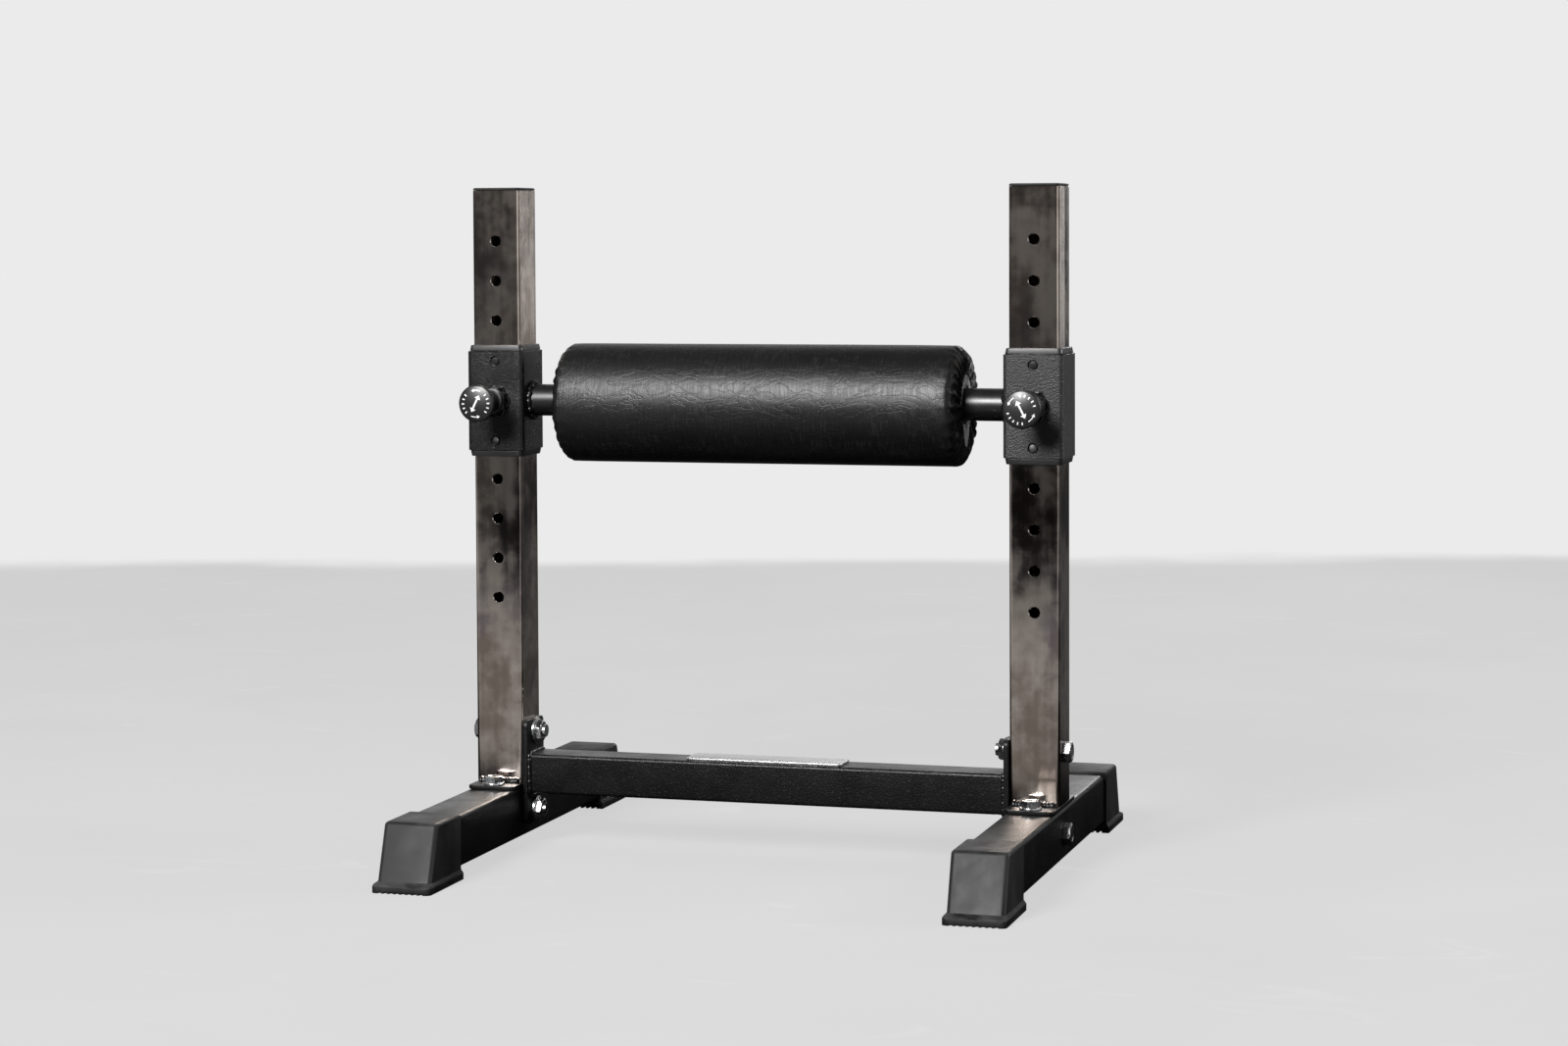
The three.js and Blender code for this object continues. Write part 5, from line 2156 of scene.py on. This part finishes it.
    def cover(self) -> Piece:
        """Makes the cover with its thickness and folded hems.

        Returns:
            The cover.
        """
        cover = turned(self.cover_profile(), Axis.X, self.around, self.centre)
        self.inflate(cover)
        self.gather(cover)
        return modified(cover, "SOLIDIFY", thickness=self.skin, offset=-1.0)

    def foam(self) -> Piece:
        """Makes the foam, a hair inside the cover, pressed out into the right mouth.

        Returns:
            The foam.
        """
        start = self.radius - self.swell - self.skin - HAIRLINE - self.round_across
        lip = self.length / 2 - self.skin
        end = lip - self.pleat_depth - 2 * HAIRLINE
        inner = self.core_radius + HAIRLINE
        plug = inner + 0.004
        bend = []
        for angle in (QUARTER_TURN * (1 - number / 8) for number in range(9)):
            across = start + self.round_across * math.cos(angle)
            bend.append((across, end - self.round_along * (1 - math.sin(angle))))
        low = [(across, -place) for across, place in reversed(bend)]
        mouth = [(inner, lip), (plug, lip), (plug, end)]
        profile = [*mouth, *bend, *low, (inner, -end), (inner, lip)]
        foam = turned(profile, Axis.X, 96, self.centre)
        for point in (vertex.co for vertex in foam.data.vertices):
            right = point.x - self.centre_x > end - HAIRLINE
            if right and abs(self.reach(point) - plug) < HAIRLINE:
                wanted = max(inner + HAIRLINE, self.slit(self.angle(point)) - 0.0012)
                self.widen(point, wanted / plug)
        return foam

    def core(self) -> Piece:
        """Makes the core tube.

        Returns:
            The tube.
        """
        end, inner, outer = self.length / 2 - self.core_setback, self.core_bore, self.core_radius
        profile = [(inner, -end), (outer, -end), (outer, end), (inner, end), (inner, -end)]
        return turned(profile, Axis.X, 64, self.centre)

    def build(self) -> None:
        """Makes the roller's three layers."""
        cover = fit(self.cover(), "roller_cover", Body.ROLLER, LEATHER, 60.0)
        foam = fit(self.foam(), "roller_foam", Body.ROLLER, FOAM, 50.0)
        fit(self.core(), "roller_core", Body.ROLLER, CORE)


# Studio


@dataclass
class Studio:
    """Camera, floor, backdrop and lights."""

    eye: Triple = (0.94446, -3.12786, 0.62293)
    yaw: float = 16.49
    pitch: float = 2.67
    roll: float = -0.27
    lens: float = 75.654
    sensor: float = 36.0
    shift: float = -0.089
    floor_reach: float = 9.0
    floor_end: float = 6.14
    ground: Colour = (0.065, 0.065, 0.065, 1.0)
    wall: float = 0.83
    pad: float = 0.3

    def camera(self) -> None:
        """Sets the camera where the photograph was taken."""
        yaw, pitch, roll = (math.radians(angle) for angle in (self.yaw, self.pitch, self.roll))
        flat = math.cos(pitch)
        ahead = Vector((-math.sin(yaw) * flat, math.cos(yaw) * flat, -math.sin(pitch)))
        level = Vector((math.cos(yaw), math.sin(yaw), 0.0))
        upward = level.cross(ahead)
        right = level * math.cos(roll) + upward * math.sin(roll)
        above = upward * math.cos(roll) - level * math.sin(roll)
        data = bpy.data.cameras.new("camera")
        data.lens, data.sensor_width = self.lens, self.sensor
        data.shift_y = self.shift
        data.clip_end = 60.0
        camera = bpy.data.objects.new("camera", data)
        matrix = Matrix((right, above, -ahead)).transposed().to_4x4()
        matrix.translation = Vector(self.eye)
        camera.matrix_world = matrix
        bpy.context.scene.collection.objects.link(camera)
        bpy.context.scene.camera = camera

    def floor(self) -> None:
        """Lays a pale studio floor that ends in a soft, uneven line."""
        clear()
        bpy.ops.mesh.primitive_plane_add(size=2 * self.floor_reach, location=(0, 0, 0))
        floor = settle(bpy.context.object)
        floor.name = "studio_floor"
        material = bpy.data.materials.new("Studio floor")
        material.use_nodes = True
        material.node_tree.nodes.clear()
        floor.data.materials.append(material)
        nodes = Nodes(material.node_tree)
        yaw, end = math.radians(self.yaw), self.floor_end
        x, y, _ = nodes.apart(nodes.place())
        ahead = (x - self.eye[0]) * -math.sin(yaw) + (y - self.eye[1]) * math.cos(yaw)
        edge = (nodes.noise(1.3, 6.0) * 0.5 + ahead).span(end + 0.16, end + 0.42)
        scuffs = nodes.noise(6.0, 9.0, 1.2, (1.0, 2.2, 1.0)).span(0.62, 0.74)
        lit = ahead.span(2.4, end).span(0.0, 1.0, 0.578, 0.568)
        shade = nodes.noise(2.2, 7.0, 0.6) * 0.05 + lit + scuffs * 0.025
        seen = nodes.make("ShaderNodeEmission", nodes.together(shade, shade, shade))
        ground = nodes.make("ShaderNodeBsdfDiffuse", self.ground)
        shown = nodes.make("ShaderNodeAddShader", seen, ground)
        pad = y.span(-2.6, -2.1) * y.span(-0.62, -0.38, 1.0, 0.0)
        rest = x.span(-2.0, -1.3, 0.055, 0.003) | y.span(0.3, 1.0, 0.003, 0.07)
        near = pad * self.pad + rest
        glow = nodes.make("ShaderNodeEmission", nodes.together(near, near, near))
        camera = nodes.make("ShaderNodeLightPath", output="Is Camera Ray")
        either = nodes.make("ShaderNodeMixShader", camera, glow, shown)
        gone = nodes.make("ShaderNodeBsdfTransparent")
        fading = nodes.make("ShaderNodeMixShader", edge, either, gone)
        nodes.add("ShaderNodeOutputMaterial", fading)

    def backdrop(self) -> None:
        """Sets a pale backdrop, with a dark room behind the camera in reflections."""
        world = bpy.data.worlds.new("studio")
        bpy.context.scene.world = world
        world.use_nodes = True
        world.node_tree.nodes.clear()
        nodes = Nodes(world.node_tree)
        x, y, z = nodes.apart(nodes.make("ShaderNodeTexCoord", output="Generated"))
        wall = z.span(-0.01, 0.04) * z.span(0.42, 0.72, 1.0, 0.0)
        wall *= y.span(0.15, 0.5) * x.span(0.02, 0.16, 1.0, 0.0)
        strips = (x + 1.0).maths("PINGPONG", 0.045).span(0.018, 0.026) * x.span(0.15, 0.2)
        strips *= y.span(0.6, 0.8) * z.span(-0.045, -0.03)
        front = z.span(-0.06, -0.035, 0.008, 0.044) * z.span(-0.02, 0.02, 1.0, 0.34)
        front *= y.span(-0.3, -0.6)
        flag = x.span(0.5, 0.6) * y.span(-0.1, -0.2)
        flag *= z.span(-0.25, -0.2) * z.span(0.3, 0.45, 1.0, 0.0)
        above = z.span(0.3, 0.95, 0.03, 0.13)
        total = wall * 0.9 + above + strips * 0.75 + front + flag * 0.5
        camera = nodes.make("ShaderNodeLightPath", output="Is Camera Ray")
        mixed = {"Factor": camera, "A": total, "B": self.wall}
        level = nodes.make("ShaderNodeMix", named=mixed, output="Result", data_type="FLOAT")
        light = nodes.make("ShaderNodeBackground", nodes.together(level, level, level))
        nodes.add("ShaderNodeOutputWorld", light)

    def softbox(self, name: str, at: Triple, towards: Triple, side: float, power: float) -> None:
        """Hangs a square light.

        Args:
            name: the light's name.
            at: its middle.
            towards: the point it is aimed at.
            side: its width.
            power: its power in watts.
        """
        data = bpy.data.lights.new(name, "AREA")
        data.shape = "RECTANGLE"
        data.size = data.size_y = side
        data.energy = power
        lamp = bpy.data.objects.new(name, data)
        lamp.location = at
        lamp.rotation_euler = (Vector(towards) - Vector(at)).to_track_quat("-Z", "Y").to_euler()
        lamp.visible_camera = False
        bpy.context.scene.collection.objects.link(lamp)

    def build(self) -> None:
        """Sets camera, floor, backdrop and lights."""
        self.camera()
        self.floor()
        self.backdrop()
        self.softbox("key", (-0.787, -3.41, 2.39), (0.0, 0.0, 0.45), 1.3, 320.0)
        self.softbox("edge", (0.15, 2.9, 1.1), (0.0, 0.0, 0.2), 0.5, 8.0)
        self.softbox("side", (2.4, 0.7, 1.3), (0.2, 0.0, 0.45), 0.8, 38.0)
        bpy.context.scene.view_settings.view_transform = "Standard"
        bpy.context.scene.view_settings.look = "None"


def main() -> None:
    """Builds every sub-assembly in order."""
    parts = (Uprights, Feet, Crossbar, Fasteners, Sleeves, PullPins, Roller, Studio)
    for part in parts:
        LOG.info("building %s", part.__name__)
        part().build()
    clear()


if __name__ == "__main__":
    main()
